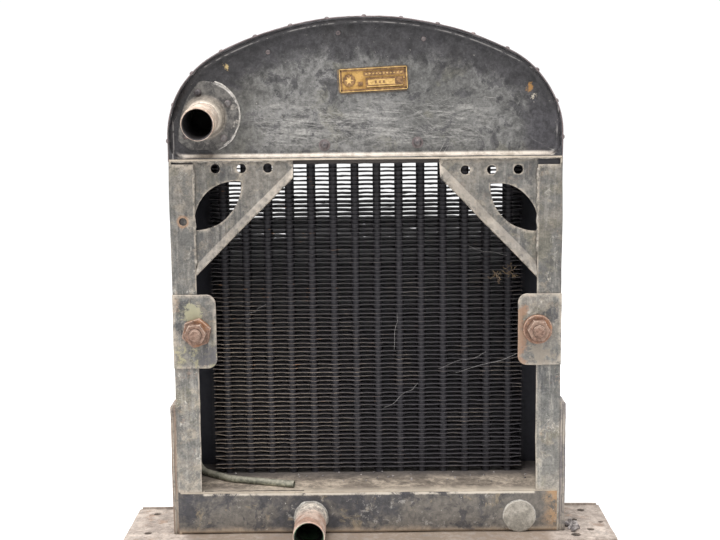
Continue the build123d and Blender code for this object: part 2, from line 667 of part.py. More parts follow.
with BuildPart() as bottom_tank:
    slab((-TANK_HALF, TANK_HALF), (REAR, FRONT), (DECK, TANK_TOP - HEADER_T))
    long_edges = bottom_tank.edges().filter_by(Axis.X).group_by(Axis.Z)[0]
    fillet(long_edges, 4.0)
    openings = bottom_tank.faces().sort_by(Axis.Z)[-1]
    offset(amount=-TANK_WALL, openings=openings)
    drill_y([OUTLET], SPIGOT_R, REAR - 1, REAR + TANK_WALL + 1)
    drill_y([BLANK], BLANK_HOLE_R, REAR - 1, REAR + TANK_WALL + 1)
    drill_y([TAP], TAP_SPIGOT_R, FRONT - TANK_WALL - 1, FRONT + 1)
    slab((-BODY_HALF, -TANK_HALF), (REAR, REAR + TANK_WALL), (DECK, TANK_TOP))
finish(bottom_tank, "bottom_tank_shell")

with BuildPart() as bottom_header:
    with BuildSketch(Plane.XY.offset(TANK_TOP - HEADER_T)):
        with Locations((0, (REAR + FRONT) / 2)):
            Rectangle(2 * TANK_HALF, BODY_DEPTH)
        with Locations(*TUBE_POINTS):
            Circle(TUBE_R, mode=Mode.SUBTRACT)
    extrude(amount=HEADER_T)
finish(bottom_header, "bottom_header_plate")

OUTLET_LENGTH = 69.0
with BuildPart() as outlet_pipe:
    outlet_plane = Plane(origin=(OUTLET[0], REAR, OUTLET[1]), x_dir=(1, 0, 0), z_dir=(0, -1, 0))
    add(hose_stub(outlet_plane, OUTLET_LENGTH, 8))
finish(outlet_pipe, "outlet_pipe")

with BuildPart() as blanking_disc:
    with BuildSketch(facing_rear(REAR)):
        with Locations(BLANK):
            Circle(BLANK_R)
    extrude(amount=BLANK_T)
    fillet(blanking_disc.faces().sort_by(Axis.Y)[0].edges(), 0.7)
finish(blanking_disc, "blanking_disc")

# --- Overflow pipe: from beside the filler down the left gap and along the bottom header --------
route_points = [
    (-62.0, REAR + 62.0, DECK + 566.0),
    (OVERFLOW_X, OVERFLOW_Y, DECK + 497.0),
    (OVERFLOW_X, OVERFLOW_Y, LAY_Z),
    (-166.0, REAR + 40.0, LAY_Z),
    (-87.0, REAR + 15.0, LAY_Z),
]
with BuildPart() as overflow_pipe:
    with BuildLine() as route:
        FilletPolyline(*route_points, radius=[40.0, 17.0, 60.0])
    path = route.wire()
    with BuildSketch(Plane(origin=path @ 0, z_dir=path % 0)):
        Circle(OVERFLOW_R)
        Circle(OVERFLOW_BORE_R, mode=Mode.SUBTRACT)
    sweep(path=path)
finish(overflow_pipe, "overflow_pipe")

CLIP_HEIGHT = 10.0
with BuildPart() as overflow_clips:
    for clip_z in (DECK + 130.0, DECK + 330.0):
        with BuildSketch(Plane.XY.offset(clip_z)):
            with Locations((OVERFLOW_X, OVERFLOW_Y)):
                Circle(OVERFLOW_R + 1.5)
            with Locations(((-TANK_HALF + OVERFLOW_X) / 2, OVERFLOW_Y)):
                Rectangle(TANK_HALF + OVERFLOW_X, 1.5)
            with Locations((-TANK_HALF + 0.75, OVERFLOW_Y)):
                Rectangle(1.5, 18.0)
            with Locations((OVERFLOW_X, OVERFLOW_Y)):
                Circle(OVERFLOW_R, mode=Mode.SUBTRACT)
        extrude(amount=CLIP_HEIGHT)
finish(overflow_clips, "overflow_clips")

# --- Drain tap ----------------------------------------------------------------------------------
TAP_BODY_R = 7.5
TAP_LENGTH = 22.0
TAP_AXIS_Y = FRONT + 13.5
PLUG_R = 3.5
PLUG_CLEARANCE = 0.05
WATERWAY_R = 2.2
END_GAP = 0.3
KEY_HALF = 11.0
KEY_T = 2.4
KEY_HEIGHT = 9.0

with BuildPart() as tap_body:
    with BuildSketch(facing_rear(FRONT + TAP_LENGTH)):
        with Locations(TAP):
            Circle(TAP_BODY_R)
    extrude(amount=TAP_LENGTH)
    with BuildSketch(facing_rear(FRONT)):
        with Locations(TAP):
            Circle(TAP_SPIGOT_R)
    extrude(amount=TANK_WALL + 2)
    slab(
        (TAP[0] - 5.5, TAP[0] + 5.5),
        (TAP_AXIS_Y - 5.5, TAP_AXIS_Y + 5.5),
        (TAP[1] - TAP_BODY_R, TAP[1] + TAP_BODY_R),
    )
    drill_y([TAP], WATERWAY_R, FRONT - 6, FRONT + TAP_LENGTH + 1)
    drill_z([(TAP[0], TAP_AXIS_Y)], PLUG_R + PLUG_CLEARANCE, TAP[1] - 10, TAP[1] + 10)
finish(tap_body, "drain_tap_body")

with BuildPart() as tap_key:
    low, high = TAP[1] - TAP_BODY_R - END_GAP, TAP[1] + TAP_BODY_R + END_GAP
    with Locations((TAP[0], TAP_AXIS_Y, (low + high) / 2)):
        Cylinder(PLUG_R, high - low + 3)
    with Locations((TAP[0], TAP_AXIS_Y, low - 0.9)):
        Cylinder(PLUG_R + 1.3, 1.8)
    with Locations((TAP[0], TAP_AXIS_Y, high + 1.0)):
        Cylinder(PLUG_R + 1.3, 2.0)
    drill_x([(TAP_AXIS_Y, TAP[1])], WATERWAY_R, TAP[0] - 5, TAP[0] + 5)
    with BuildSketch(facing_rear(TAP_AXIS_Y + KEY_T / 2)):
        with Locations((TAP[0], high + 2.0 + KEY_HEIGHT / 2)):
            SlotOverall(2 * KEY_HALF, KEY_HEIGHT)
    extrude(amount=KEY_T)
finish(tap_key, "drain_tap_key")
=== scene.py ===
import math
import random

import bmesh
import bpy
from mathutils import Matrix, Vector, noise


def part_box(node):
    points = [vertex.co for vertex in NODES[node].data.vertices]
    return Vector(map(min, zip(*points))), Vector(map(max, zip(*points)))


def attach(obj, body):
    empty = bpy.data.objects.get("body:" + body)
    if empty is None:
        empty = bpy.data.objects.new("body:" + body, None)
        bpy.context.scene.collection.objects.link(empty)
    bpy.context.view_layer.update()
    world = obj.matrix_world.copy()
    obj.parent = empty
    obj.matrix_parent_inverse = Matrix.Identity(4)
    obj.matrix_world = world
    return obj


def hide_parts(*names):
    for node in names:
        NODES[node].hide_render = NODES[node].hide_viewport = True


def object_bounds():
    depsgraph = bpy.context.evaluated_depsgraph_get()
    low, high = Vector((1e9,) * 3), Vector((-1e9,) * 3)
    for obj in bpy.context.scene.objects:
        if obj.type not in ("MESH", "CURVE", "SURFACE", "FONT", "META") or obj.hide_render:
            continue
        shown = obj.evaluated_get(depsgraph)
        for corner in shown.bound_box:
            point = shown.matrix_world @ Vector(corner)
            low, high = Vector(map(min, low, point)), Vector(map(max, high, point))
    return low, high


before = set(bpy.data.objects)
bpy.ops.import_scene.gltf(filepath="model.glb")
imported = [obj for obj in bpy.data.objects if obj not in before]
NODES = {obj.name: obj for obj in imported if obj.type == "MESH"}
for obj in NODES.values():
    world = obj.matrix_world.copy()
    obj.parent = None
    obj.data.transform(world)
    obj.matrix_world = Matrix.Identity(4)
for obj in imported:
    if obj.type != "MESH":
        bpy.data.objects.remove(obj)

# The looks of an old arch-topped car radiator. Metres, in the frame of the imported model.
MM = 0.001
BODY = "radiator"
cad_low, cad_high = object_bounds()
dice = random.Random(11)
NOISE_SEED = 1794836829  # without one Blender takes the clock, and the dents differ each run
noise.seed_set(NOISE_SEED)


def low(node):
    """Lowest corner of a CAD node."""
    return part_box(node)[0]


def high(node):
    """Highest corner of a CAD node."""
    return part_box(node)[1]


def middle(node):
    """Centre of a CAD node's box."""
    return (low(node) + high(node)) / 2


def show(name, data):
    """A new object in the scene."""
    made = bpy.data.objects.new(name, data)
    bpy.context.scene.collection.objects.link(made)
    return made


# --- Places read from the frame ---
REAR = low("left_post").y  # the engine-side face of the body
FRONT = high("left_post").y
DECK = low("left_post").z  # top of the base plate
HALF = high("top_tank_wrap").x
CROWN = high("top_tank_wrap").z
ARCH_BASE = low("top_tank_rear_panel").z
TANK_TOP = high("bottom_header_plate").z
CROWN_R = 360 * MM
INLET = middle("inlet_pipe")
INLET_DROOP = math.radians(6.0)
OUTLET = middle("outlet_pipe")
CORE_LOW = low("core_fins")
CORE_HIGH = high("core_fins")


# --- Node shorthand for the materials ---
RANGE_KEYS = ("From Min", "From Max", "To Min", "To Max")


class Shade:
    """A Principled material built from short calls. Scales are in repeats per metre."""

    def __init__(self, name):
        self.material = bpy.data.materials.new(name)
        self.material.use_nodes = True
        self.tree = self.material.node_tree
        self.shader = self.tree.nodes["Principled BSDF"]
        self.coords = self.node("ShaderNodeTexCoord").outputs["Object"]
        self.geometry = self.node("ShaderNodeNewGeometry")
        self.colour = None

    def node(self, kind, **settings):
        made = self.tree.nodes.new(kind)
        for key, value in settings.items():
            setattr(made, key, value)
        return made

    def put(self, socket, value):
        if isinstance(value, bpy.types.NodeSocket):
            self.tree.links.new(value, socket)
        elif isinstance(value, (tuple, list)) and len(value) == 3 and socket.type == "RGBA":
            socket.default_value = (*value, 1)
        else:
            socket.default_value = value

    def noise(self, scale, detail=6.0, rough=0.55, warp=0.0, stretch=(1, 1, 1), turn=0.0, seed=0.0):
        """Noise; stretch multiplies the scale along axes that are turned about Y first."""
        mapping = self.node("ShaderNodeMapping", vector_type="TEXTURE")
        self.put(mapping.inputs["Vector"], self.coords)
        mapping.inputs["Scale"].default_value = [1 / part for part in stretch]
        mapping.inputs["Rotation"].default_value = (0, math.radians(turn), 0)
        mapping.inputs["Location"].default_value = (seed * 3.1, seed * 1.7, seed * 2.3)
        texture = self.node("ShaderNodeTexNoise")
        self.put(texture.inputs["Vector"], mapping.outputs[0])
        texture.inputs["Scale"].default_value = scale
        texture.inputs["Detail"].default_value = detail
        texture.inputs["Roughness"].default_value = rough
        texture.inputs["Distortion"].default_value = warp
        return texture.outputs["Fac"]

    def math(self, operation, a, b=0.0):
        made = self.node("ShaderNodeMath", operation=operation, use_clamp=False)
        self.put(made.inputs[0], a)
        self.put(made.inputs[1], b)
        return made.outputs[0]

    def ramp(self, value, start, end, below=0.0, above=1.0):
        """From below at start to above at end, smooth between; start may be the larger."""
        made = self.node("ShaderNodeMapRange", interpolation_type="SMOOTHSTEP")
        self.put(made.inputs["Value"], value)
        for key, number in zip(RANGE_KEYS, (start, end, below, above)):
            made.inputs[key].default_value = number
        return made.outputs["Result"]

    def rise(self, value, start, end, base, height):
        """A ramp that starts at base and rises by height, for the roughness."""
        return self.math("ADD", base, self.times(self.ramp(value, start, end), height))

    def spots(self, start, end, *settings, **more):
        """Noise with everything below start cut to 0 and above end to 1."""
        return self.ramp(self.noise(*settings, **more), start, end)

    def mix(self, amount, a, b):
        made = self.node("ShaderNodeMix", data_type="RGBA", clamp_factor=True)
        self.put(made.inputs[0], amount)
        self.put(made.inputs[6], a)
        self.put(made.inputs[7], b)
        return made.outputs[2]

    def tones(self, value, start, end, dark, light):
        """From one colour to another as the value goes from start to end."""
        return self.mix(self.ramp(value, start, end), dark, light)

    def coat(self, coat, mask, strength=1.0):
        """Lay a coat over the colour where the 0 to 1 mask says so."""
        self.colour = self.mix(self.times(mask, strength), self.colour, coat)

    def vary(self, value, dark, bright, spread=0.14):
        """Darken and brighten the colour by noise, which is spread round 0.5."""
        factor = self.ramp(value, 0.5 - spread, 0.5 + spread, dark, bright)
        product = self.node("ShaderNodeVectorMath", operation="MULTIPLY")
        self.put(product.inputs[0], self.colour)
        self.put(product.inputs[1], factor)
        self.colour = product.outputs[0]

    def times(self, *values):
        total = values[0]
        for value in values[1:]:
            total = self.math("MULTIPLY", total, value)
        return total

    def axis(self, i):
        """The X, Y or Z coordinate in metres."""
        made = self.node("ShaderNodeSeparateXYZ")
        self.put(made.inputs[0], self.coords)
        return made.outputs[i]

    def shifted(self, place, texture, reach):
        """A distance in metres made ragged by noise."""
        return self.math("ADD", place, self.times(self.math("SUBTRACT", texture, 0.5), reach))

    def ragged(self, place, texture, reach, start, end):
        """A ramp along a distance, with its border made ragged by noise."""
        return self.ramp(self.shifted(place, texture, reach), start, end)

    def away_from(self, x, z):
        """Distance in metres from a line along Y."""
        dx = self.math("SUBTRACT", self.axis(0), x)
        dz = self.math("SUBTRACT", self.axis(2), z)
        return self.math("SQRT", self.math("ADD", self.times(dx, dx), self.times(dz, dz)))

    def pipe_gap(self, centre, droop):
        """Distance in metres from the axis of a pipe that slopes down towards -Y."""
        dx = self.math("SUBTRACT", self.axis(0), centre.x)
        dy = self.times(self.math("SUBTRACT", self.axis(1), centre.y), math.sin(droop))
        dz = self.times(self.math("SUBTRACT", self.axis(2), centre.z), math.cos(droop))
        rise = self.math("SUBTRACT", dz, dy)
        return self.math("SQRT", self.math("ADD", self.times(dx, dx), self.times(rise, rise)))

    def arch_gap(self):
        """Distance in from the arched outline of the top tank."""
        crown = self.math("SUBTRACT", CROWN_R, self.away_from(0, CROWN - CROWN_R))
        side = self.math("SUBTRACT", HALF, self.size_of(self.axis(0)))
        return self.math("MINIMUM", crown, side)

    def size_of(self, value):
        return self.math("ABSOLUTE", value)

    def facing(self, i):
        """The X, Y or Z part of the surface normal."""
        made = self.node("ShaderNodeSeparateXYZ")
        self.put(made.inputs[0], self.geometry.outputs["Normal"])
        return made.outputs[i]

    def along(self, i, start, end):
        """A ramp along X, Y or Z."""
        return self.ramp(self.axis(i), start, end)

    def turned(self, i, start, end):
        """A ramp by how far the surface faces along X, Y or Z."""
        return self.ramp(self.facing(i), start, end)

    def edges(self, start=0.505, end=0.53):
        """1 on worn outer edges."""
        return self.ramp(self.geometry.outputs["Pointiness"], start, end)

    def hollows(self, distance):
        """1 in corners and under ledges, where painted shade goes."""
        made = self.node("ShaderNodeAmbientOcclusion", samples=6)
        made.inputs["Distance"].default_value = distance
        return self.ramp(made.outputs["AO"], 0.85, 0.25)

    def finish(self, rough, metallic, *bumps):
        """bumps are (height, distance in metres, strength)."""
        self.put(self.shader.inputs["Base Color"], self.colour)
        self.put(self.shader.inputs["Roughness"], rough)
        self.shader.inputs["Metallic"].default_value = metallic
        normal = None
        for height, distance, strength in bumps:
            made = self.node("ShaderNodeBump")
            self.put(made.inputs["Height"], height)
            made.inputs["Distance"].default_value = distance
            made.inputs["Strength"].default_value = strength
            if normal is not None:
                self.put(made.inputs["Normal"], normal)
            normal = made.outputs[0]
        if normal is not None:
            self.put(self.shader.inputs["Normal"], normal)
        return self.material

    def scratches(self, turn, seed=0.0, amount=0.67, fineness=700.0, length=26.0):
        """Thin straight scuffs, turned in the plane of the end faces."""
        lines = self.noise(1.0, 3.0, 0.6, 0.2, (length, length, fineness), turn, seed)
        gaps = self.noise(26.0, 3.0, 0.5, seed=seed + 5)
        return self.times(self.ramp(lines, amount, amount + 0.06), self.ramp(gaps, 0.48, 0.60))


# --- Materials ---
DUST = (0.47, 0.4, 0.33)
PALE_DUST = (0.74, 0.655, 0.56)
POST_HOLE = (-0.2058, 0.3675)  # X and Z of the small hole in the left post
PANEL_STAINS = (  # X, Z, radius, colour
    (0.184, 0.512, 0.005, (0.33, 0.17, 0.05)),
    (0.188, 0.503, 0.003, (0.46, 0.41, 0.33)),
    (-0.153, 0.54, 0.0026, (0.52, 0.38, 0.17)),
)


def panel_patina():
    """Rear panel: painted shade in a band round the arch with a painted highlight line along it, sooty by
    the inlet, brushed bright in the lower middle.
    """
    s = Shade("panel_patina")
    cloud = s.noise(9.0, 5.0, 0.55)
    blot = s.noise(30.0, 10.0, 0.74, 0.4, seed=4)
    mottle = s.noise(85.0, 9.0, 0.78, 0.3, seed=2)
    grain = s.noise(330.0, 5.0, 0.75, seed=6)
    x, z = s.axis(0), s.axis(2)
    s.colour = s.tones(cloud, 0.38, 0.6, (0.088, 0.086, 0.082), (0.142, 0.138, 0.133))
    s.coat((0.122, 0.115, 0.088), s.spots(0.53, 0.62, 24.0, 8.0, 0.7, seed=21), 0.5)
    s.coat((0.04, 0.038, 0.041), s.ramp(blot, 0.535, 0.57), 0.75)
    left = s.ragged(x, blot, 0.13, -0.1, -0.14)
    s.coat((0.072, 0.069, 0.062), left, 0.75)
    # painted shade: a near black band inside the arch's outline, ragged by noise
    rim = s.ragged(s.arch_gap(), blot, 0.12, 0.05, 0.026)
    s.coat((0.028, 0.026, 0.029), rim, 0.9)
    foot = s.times(s.ragged(x, blot, 0.05, 0.17, 0.19), s.ragged(z, blot, 0.06, 0.505, 0.475))
    s.coat((0.046, 0.043, 0.048), foot, 0.85)
    band = s.times(s.ragged(z, mottle, 0.02, 0.443, 0.458), s.ragged(z, blot, 0.06, 0.512, 0.484))
    band = s.times(band, s.ragged(x, blot, 0.08, -0.135, -0.1), s.ragged(x, blot, 0.08, 0.165, 0.11))
    patch = s.ramp(mottle, 0.6, 0.42)
    for turn, seed, strength in ((4, 3, 0.75), (-16, 9, 0.5), (38, 5, 0.4)):
        streak = s.noise(1.0, 6.0, 0.78, 0.5, (16, 16, 230), turn, seed)
        s.coat((0.42, 0.405, 0.38), s.times(band, patch, s.ramp(streak, 0.49, 0.61)), strength)
    s.vary(mottle, 0.58, 1.46)
    s.vary(grain, 0.78, 1.24, 0.16)
    for turn, seed in ((6, 1), (-34, 2), (27, 3), (-62, 6)):
        s.coat((0.5, 0.48, 0.45), s.times(s.scratches(turn, seed), s.ramp(z, 0.535, 0.505)), 0.5)
    s.coat((0.46, 0.43, 0.38), s.spots(0.65, 0.7, 210.0, 6.0, 0.7, seed=9), 0.6)
    for spot_x, spot_z, size, stain in PANEL_STAINS:
        s.coat(stain, s.ragged(s.away_from(spot_x, spot_z), mottle, 0.03, size, size * 0.5), 0.85)
    # painted highlight: a thin light line just inside the arch's outline, broken by noise
    line = s.times(s.ramp(s.arch_gap(), 0.005, 0.0056), s.ramp(s.arch_gap(), 0.0068, 0.006))
    s.coat((0.3, 0.28, 0.27), s.times(line, s.ramp(blot, 0.46, 0.54)), 0.7)
    ledge = s.times(s.turned(2, 0.12, 0.65), s.ramp(z, ARCH_BASE + 0.018, ARCH_BASE + 0.01))
    ledge = s.times(ledge, s.ragged(s.size_of(x), blot, 0.03, 0.213, 0.2))
    s.coat(s.tones(mottle, 0.4, 0.58, DUST, PALE_DUST), ledge, 0.68)
    rough = s.rise(mottle, 0.3, 0.7, 0.38, 0.26)
    return s.finish(rough, 0.25, (blot, 0.0016, 0.4), (mottle, 0.0008, 0.6), (grain, 0.0003, 0.5))


def shell_patina():
    """Dark lead and copper skin of the tank's outside, with a little dust on top."""
    s = Shade("shell_patina")
    blot = s.noise(24.0, 10.0, 0.72, 0.4)
    mottle = s.noise(90.0, 8.0, 0.76, 0.3, seed=2)
    grain = s.noise(330.0, 5.0, 0.7, seed=6)
    s.colour = s.tones(blot, 0.44, 0.58, (0.048, 0.043, 0.047), (0.13, 0.12, 0.118))
    s.vary(mottle, 0.6, 1.44)
    s.vary(grain, 0.82, 1.2, 0.16)
    s.coat((0.25, 0.165, 0.145), s.spots(0.57, 0.64, 48.0, 7.0, 0.7, seed=7), 0.5)
    for turn, seed in ((6, 1), (-40, 2), (65, 3)):
        s.coat((0.38, 0.35, 0.33), s.scratches(turn, seed), 0.45)
    rim = s.along(1, REAR + 0.0014, REAR + 0.0006)
    s.coat((0.135, 0.105, 0.112), s.times(rim, s.ramp(mottle, 0.4, 0.56)), 0.75)
    s.coat((0.28, 0.215, 0.205), s.edges(), 0.35)
    dusty = s.times(s.turned(2, 0.55, 1.0), s.ramp(mottle, 0.36, 0.62), s.along(1, REAR, REAR + 0.02))
    s.coat((0.31, 0.268, 0.228), dusty, 0.55)
    rough = s.rise(mottle, 0.3, 0.7, 0.42, 0.25)
    return s.finish(rough, 0.3, (blot, 0.0015, 0.35), (mottle, 0.0006, 0.6), (grain, 0.0003, 0.5))


def flange_patina():
    """Inlet flange: sooty disc with a painted highlight on the right of its rim, painted shade in its
    corners, and a cone of dusty solder, palest by the pipe where light is painted on its upper and right
    side.
    """
    s = Shade("flange_patina")
    mottle = s.noise(100.0, 9.0, 0.78, 0.4, seed=2)
    grain = s.noise(420.0, 5.0, 0.7, seed=6)
    out = s.away_from(INLET.x, INLET.z + 3 * MM)
    axis_gap = s.pipe_gap(INLET, INLET_DROOP)
    s.colour = s.tones(mottle, 0.42, 0.6, (0.048, 0.045, 0.044), (0.135, 0.126, 0.116))
    s.coat((0.33, 0.3, 0.265), s.spots(0.575, 0.63, 60.0, 8.0, 0.74, seed=3), 0.7)
    cone = s.ragged(axis_gap, mottle, 0.006, 0.0265, 0.0225)
    s.coat(s.tones(mottle, 0.4, 0.58, (0.15, 0.13, 0.11), (0.34, 0.295, 0.245)), cone, 0.85)
    pale = s.tones(mottle, 0.38, 0.6, (0.48, 0.41, 0.34), (0.74, 0.65, 0.55))
    near = s.ragged(axis_gap, mottle, 0.006, 0.0215, 0.019)
    # painted light: palest near the pipe where the surface faces up and to the right
    lit = s.ramp(s.math("ADD", s.facing(2), s.times(s.facing(0), 0.6)), -0.55, 0.25)
    s.coat(pale, s.times(near, lit), 0.95)
    # painted highlight: a pale crescent on the right of the rim, broken by noise
    rim = s.times(s.ramp(out, 0.0378, 0.039), s.along(0, INLET.x - 0.002, INLET.x + 0.016))
    s.coat((0.5, 0.47, 0.44), s.times(rim, s.ramp(mottle, 0.4, 0.54)), 0.85)
    # painted shade in the corners
    s.coat((0.03, 0.026, 0.024), s.hollows(0.006), 0.6)
    s.vary(grain, 0.82, 1.18, 0.16)
    return s.finish(0.6, 0.2, (mottle, 0.0007, 0.6), (grain, 0.0003, 0.5))


def frame_steel(name, warm=0.5, rust=0.35, pale=0.5, dark=0.7, low_pale=0.5):
    """Weathered grey sheet steel: dark and olive patches under tan dirt, scuffs, streaks and rust, and
    painted shade in corners.
    """
    s = Shade(name)
    cloud = s.noise(14.0, 7.0, 0.62, 0.4)
    blot = s.noise(24.0, 10.0, 0.7, 0.5, seed=4)
    mottle = s.noise(110.0, 9.0, 0.78, 0.3, seed=2)
    grain = s.noise(420.0, 5.0, 0.7, seed=6)
    streak = s.noise(1.0, 7.0, 0.72, 0.3, (170, 170, 12), seed=3)
    start = 0.56 - 0.2 * warm
    s.colour = s.tones(cloud, start, 0.66 - 0.2 * warm, (0.13, 0.127, 0.119), (0.212, 0.192, 0.166))
    s.coat((0.15, 0.136, 0.09), s.spots(0.52, 0.6, 22.0, 8.0, 0.72, seed=19), 0.55)
    s.coat((0.068, 0.068, 0.07), s.ramp(blot, 0.52, 0.565), dark)
    s.coat((0.3, 0.28, 0.25), s.ramp(streak, 0.5, 0.62), 0.6)
    tan = s.spots(0.54, 0.6, 50.0, 10.0, 0.78, 0.5, seed=11)
    s.coat((0.37, 0.31, 0.235), tan, 0.8 * warm)
    s.coat((0.62, 0.585, 0.52), s.spots(0.585, 0.63, 70.0, 9.0, 0.8, 0.5, seed=13), pale)
    rusty = s.spots(0.565, 0.625, 30.0, 9.0, 0.76, 0.4, seed=5)
    s.coat((0.36, 0.205, 0.115), rusty, rust)
    s.coat((0.35, 0.325, 0.285), s.along(2, 0.16, 0.04), 0.3 * low_pale)
    s.coat((0.085, 0.078, 0.07), s.along(2, 0.22, 0.36), 0.42)
    s.vary(mottle, 0.72, 1.28)
    s.vary(grain, 0.8, 1.2, 0.16)
    for turn, seed in ((86, 4), (12, 1), (-50, 6)):
        s.coat((0.6, 0.57, 0.52), s.scratches(turn, seed), 0.4)
    s.coat((0.5, 0.43, 0.35), s.times(s.edges(), s.ramp(mottle, 0.38, 0.55)), 0.6)
    # painted shade in corners and under ledges
    s.coat((0.085, 0.07, 0.058), s.hollows(0.01), 0.55)
    s.coat(s.mix(mottle, DUST, PALE_DUST), s.turned(2, 0.26, 0.52), 0.6)
    hole = s.times(s.ragged(s.away_from(*POST_HOLE), mottle, 0.006, 0.0085, 0.0055),
                   s.along(1, REAR + 0.0012, REAR + 0.0006))
    s.coat((0.27, 0.15, 0.08), hole, 0.7)
    inside = s.times(s.ramp(s.size_of(s.axis(0)), HALF - 0.0012, HALF - 0.0018),
                     s.along(1, REAR + 0.0018, REAR + 0.003), s.along(1, FRONT - 0.0004, FRONT - 0.001))
    rough = s.rise(mottle, 0.4, 0.7, 0.5, 0.28)
    return s, inside, rough, ((blot, 0.001, 0.4), (mottle, 0.0006, 0.6), (grain, 0.0003, 0.5))


def weathered(name, inside_shade=0.94, **wear):
    """Frame steel; painted shade darkens what faces into the body, nearly black out past 194 mm to each
    side, where it shows through the post hole.
    """
    s, inside, rough, bumps = frame_steel(name, **wear)
    # painted shade: nearly black inside the posts, seen through the post hole
    lapped = s.times(s.ramp(s.size_of(s.axis(0)), 0.1925, 0.194), s.along(1, REAR + 0.0022, REAR + 0.0028))
    s.coat((0.02, 0.019, 0.024), s.times(inside, lapped), 0.95)
    # painted shade on what faces into the body
    s.coat((0.042, 0.042, 0.054), inside, inside_shade)
    return s.finish(rough, 0.15, *bumps)


def bracket_metal():
    """Stud plates: olive lichen and a dark bare patch on the left one, rusty inner edge on the right one."""
    s, _, rough, bumps = frame_steel("bracket_metal", warm=0.5, rust=0.3, pale=0.3, dark=0.95)
    blot = s.noise(60.0, 10.0, 0.76, 0.4, seed=25)
    x, z = s.axis(0), s.axis(2)
    left = s.ramp(x, 0.01, -0.01)
    lichen = s.times(left, s.ragged(z, blot, 0.06, 0.226, 0.22),
                     s.spots(0.5, 0.54, 95.0, 9.0, 0.8, 0.4, seed=27))
    s.coat((0.36, 0.33, 0.2), lichen, 0.75)
    lichen = s.times(left, s.ragged(s.away_from(-0.199, 0.262), blot, 0.09, 0.01, 0.007))
    s.coat((0.36, 0.34, 0.22), lichen, 0.75)
    bare = s.times(left, s.ragged(s.away_from(-0.18, 0.216), blot, 0.07, 0.0125, 0.011))
    s.coat((0.095, 0.09, 0.097), bare, 0.8)
    inner = s.times(s.ragged(x, blot, 0.07, 0.183, 0.176), s.ramp(x, 0.16, 0.165),
                    s.ragged(z, blot, 0.1, 0.272, 0.262))
    s.coat((0.29, 0.165, 0.1), inner, 0.75)
    cream = s.ragged(s.away_from(0.196, 0.212), blot, 0.13, 0.014, 0.008)
    s.coat((0.3, 0.255, 0.205), cream, 0.7)
    return s.finish(rough, 0.15, *bumps)


def strap_metal():
    """Side straps: brown rust on the left one, dark purplish scale on the right one."""
    s, _, rough, bumps = frame_steel("strap_metal", warm=0.4, rust=0.5, pale=0.25, dark=0.8)
    layers = s.noise(1.0, 6.0, 0.7, 0.2, (420, 420, 9), seed=31)
    tint = s.tones(s.axis(0), -0.01, 0.01, (0.175, 0.112, 0.078), (0.085, 0.072, 0.086))
    s.coat(tint, s.ramp(layers, 0.4, 0.55), 0.8)
    return s.finish(rough, 0.1, *bumps)


def rusty_steel():
    """Brown rusted fasteners with orange dust by their feet, painted shade in the hollows, and pale worn
    edges with a painted highlight where they face up.
    """
    s = Shade("rusty_steel")
    grain = s.noise(300.0, 9.0, 0.78, 0.4)
    broad = s.noise(75.0, 7.0, 0.7, 0.4, seed=4)
    s.colour = s.tones(grain, 0.38, 0.62, (0.095, 0.05, 0.034), (0.28, 0.172, 0.125))
    s.coat((0.3, 0.205, 0.155), s.ramp(broad, 0.47, 0.58), 0.6)
    s.coat((0.38, 0.165, 0.065), s.spots(0.55, 0.62, 50.0, 6.0, 0.7, seed=8), 0.55)
    s.coat((0.34, 0.135, 0.055), s.along(1, REAR - 0.008, REAR - 0.005), 0.55)
    # pale worn edges, only where they face up: part wear, part painted highlight
    s.coat((0.64, 0.52, 0.43), s.times(s.edges(0.51, 0.55), s.turned(2, -0.4, 0.5)), 0.7)
    # painted shade in the hollows
    s.coat((0.055, 0.028, 0.018), s.hollows(0.008), 0.85)
    return s.finish(0.68, 0.1, (grain, 0.0006, 0.8), (broad, 0.0008, 0.4))


def copper_pipe(name, centre, droop, grey_at, bare_at, bare, dusty, bore_colour):
    """Dull copper stub: grey near the tank and bare towards its mouth along Y, with painted shade on its
    underside and in its bore, where it is near black patched with the bore colour.
    """
    s = Shade(name)
    fine = s.noise(170.0, 9.0, 0.76, 0.4)
    broad = s.noise(45.0, 8.0, 0.68, 0.4, seed=3)
    metal = s.tones(broad, 0.42, 0.6, bare, dusty)
    grey = s.tones(fine, 0.38, 0.62, (0.36, 0.32, 0.28), (0.68, 0.61, 0.53))
    s.colour = s.tones(s.shifted(s.axis(1), broad, 0.014), grey_at, bare_at, grey, metal)
    s.vary(fine, 0.68, 1.3)
    s.coat((0.17, 0.1, 0.07), s.spots(0.585, 0.64, 120.0, 7.0, 0.74, seed=9), 0.65)
    s.coat((0.62, 0.47, 0.38), s.edges(0.52, 0.58), 0.4)
    # painted shade on the underside
    s.coat((0.1, 0.085, 0.07), s.turned(2, -0.3, -0.95), 0.5)
    # painted shade: the bore is near black, patched with the bore colour
    inner = s.tones(broad, 0.48, 0.6, (0.016, 0.015, 0.018), bore_colour)
    s.coat(inner, s.ramp(s.pipe_gap(centre, droop), 0.0172, 0.0166), 0.97)
    return s.finish(0.6, 0.15, (fine, 0.0004, 0.6), (broad, 0.0012, 0.3))


def verdigris():
    """Grey-green tarnish on soft copper, with tan dust on top."""
    s = Shade("verdigris")
    broad = s.noise(75.0, 8.0, 0.72, 0.5)
    fine = s.noise(260.0, 6.0, 0.74, seed=2)
    s.colour = s.tones(broad, 0.44, 0.58, (0.13, 0.13, 0.098), (0.285, 0.28, 0.21))
    s.vary(fine, 0.66, 1.34)
    dusty = s.times(s.turned(2, -0.1, 0.7), s.ramp(broad, 0.32, 0.52))
    s.coat((0.34, 0.31, 0.25), dusty, 0.6)
    return s.finish(0.65, 0.1, (fine, 0.0003, 0.5), (broad, 0.0008, 0.3))


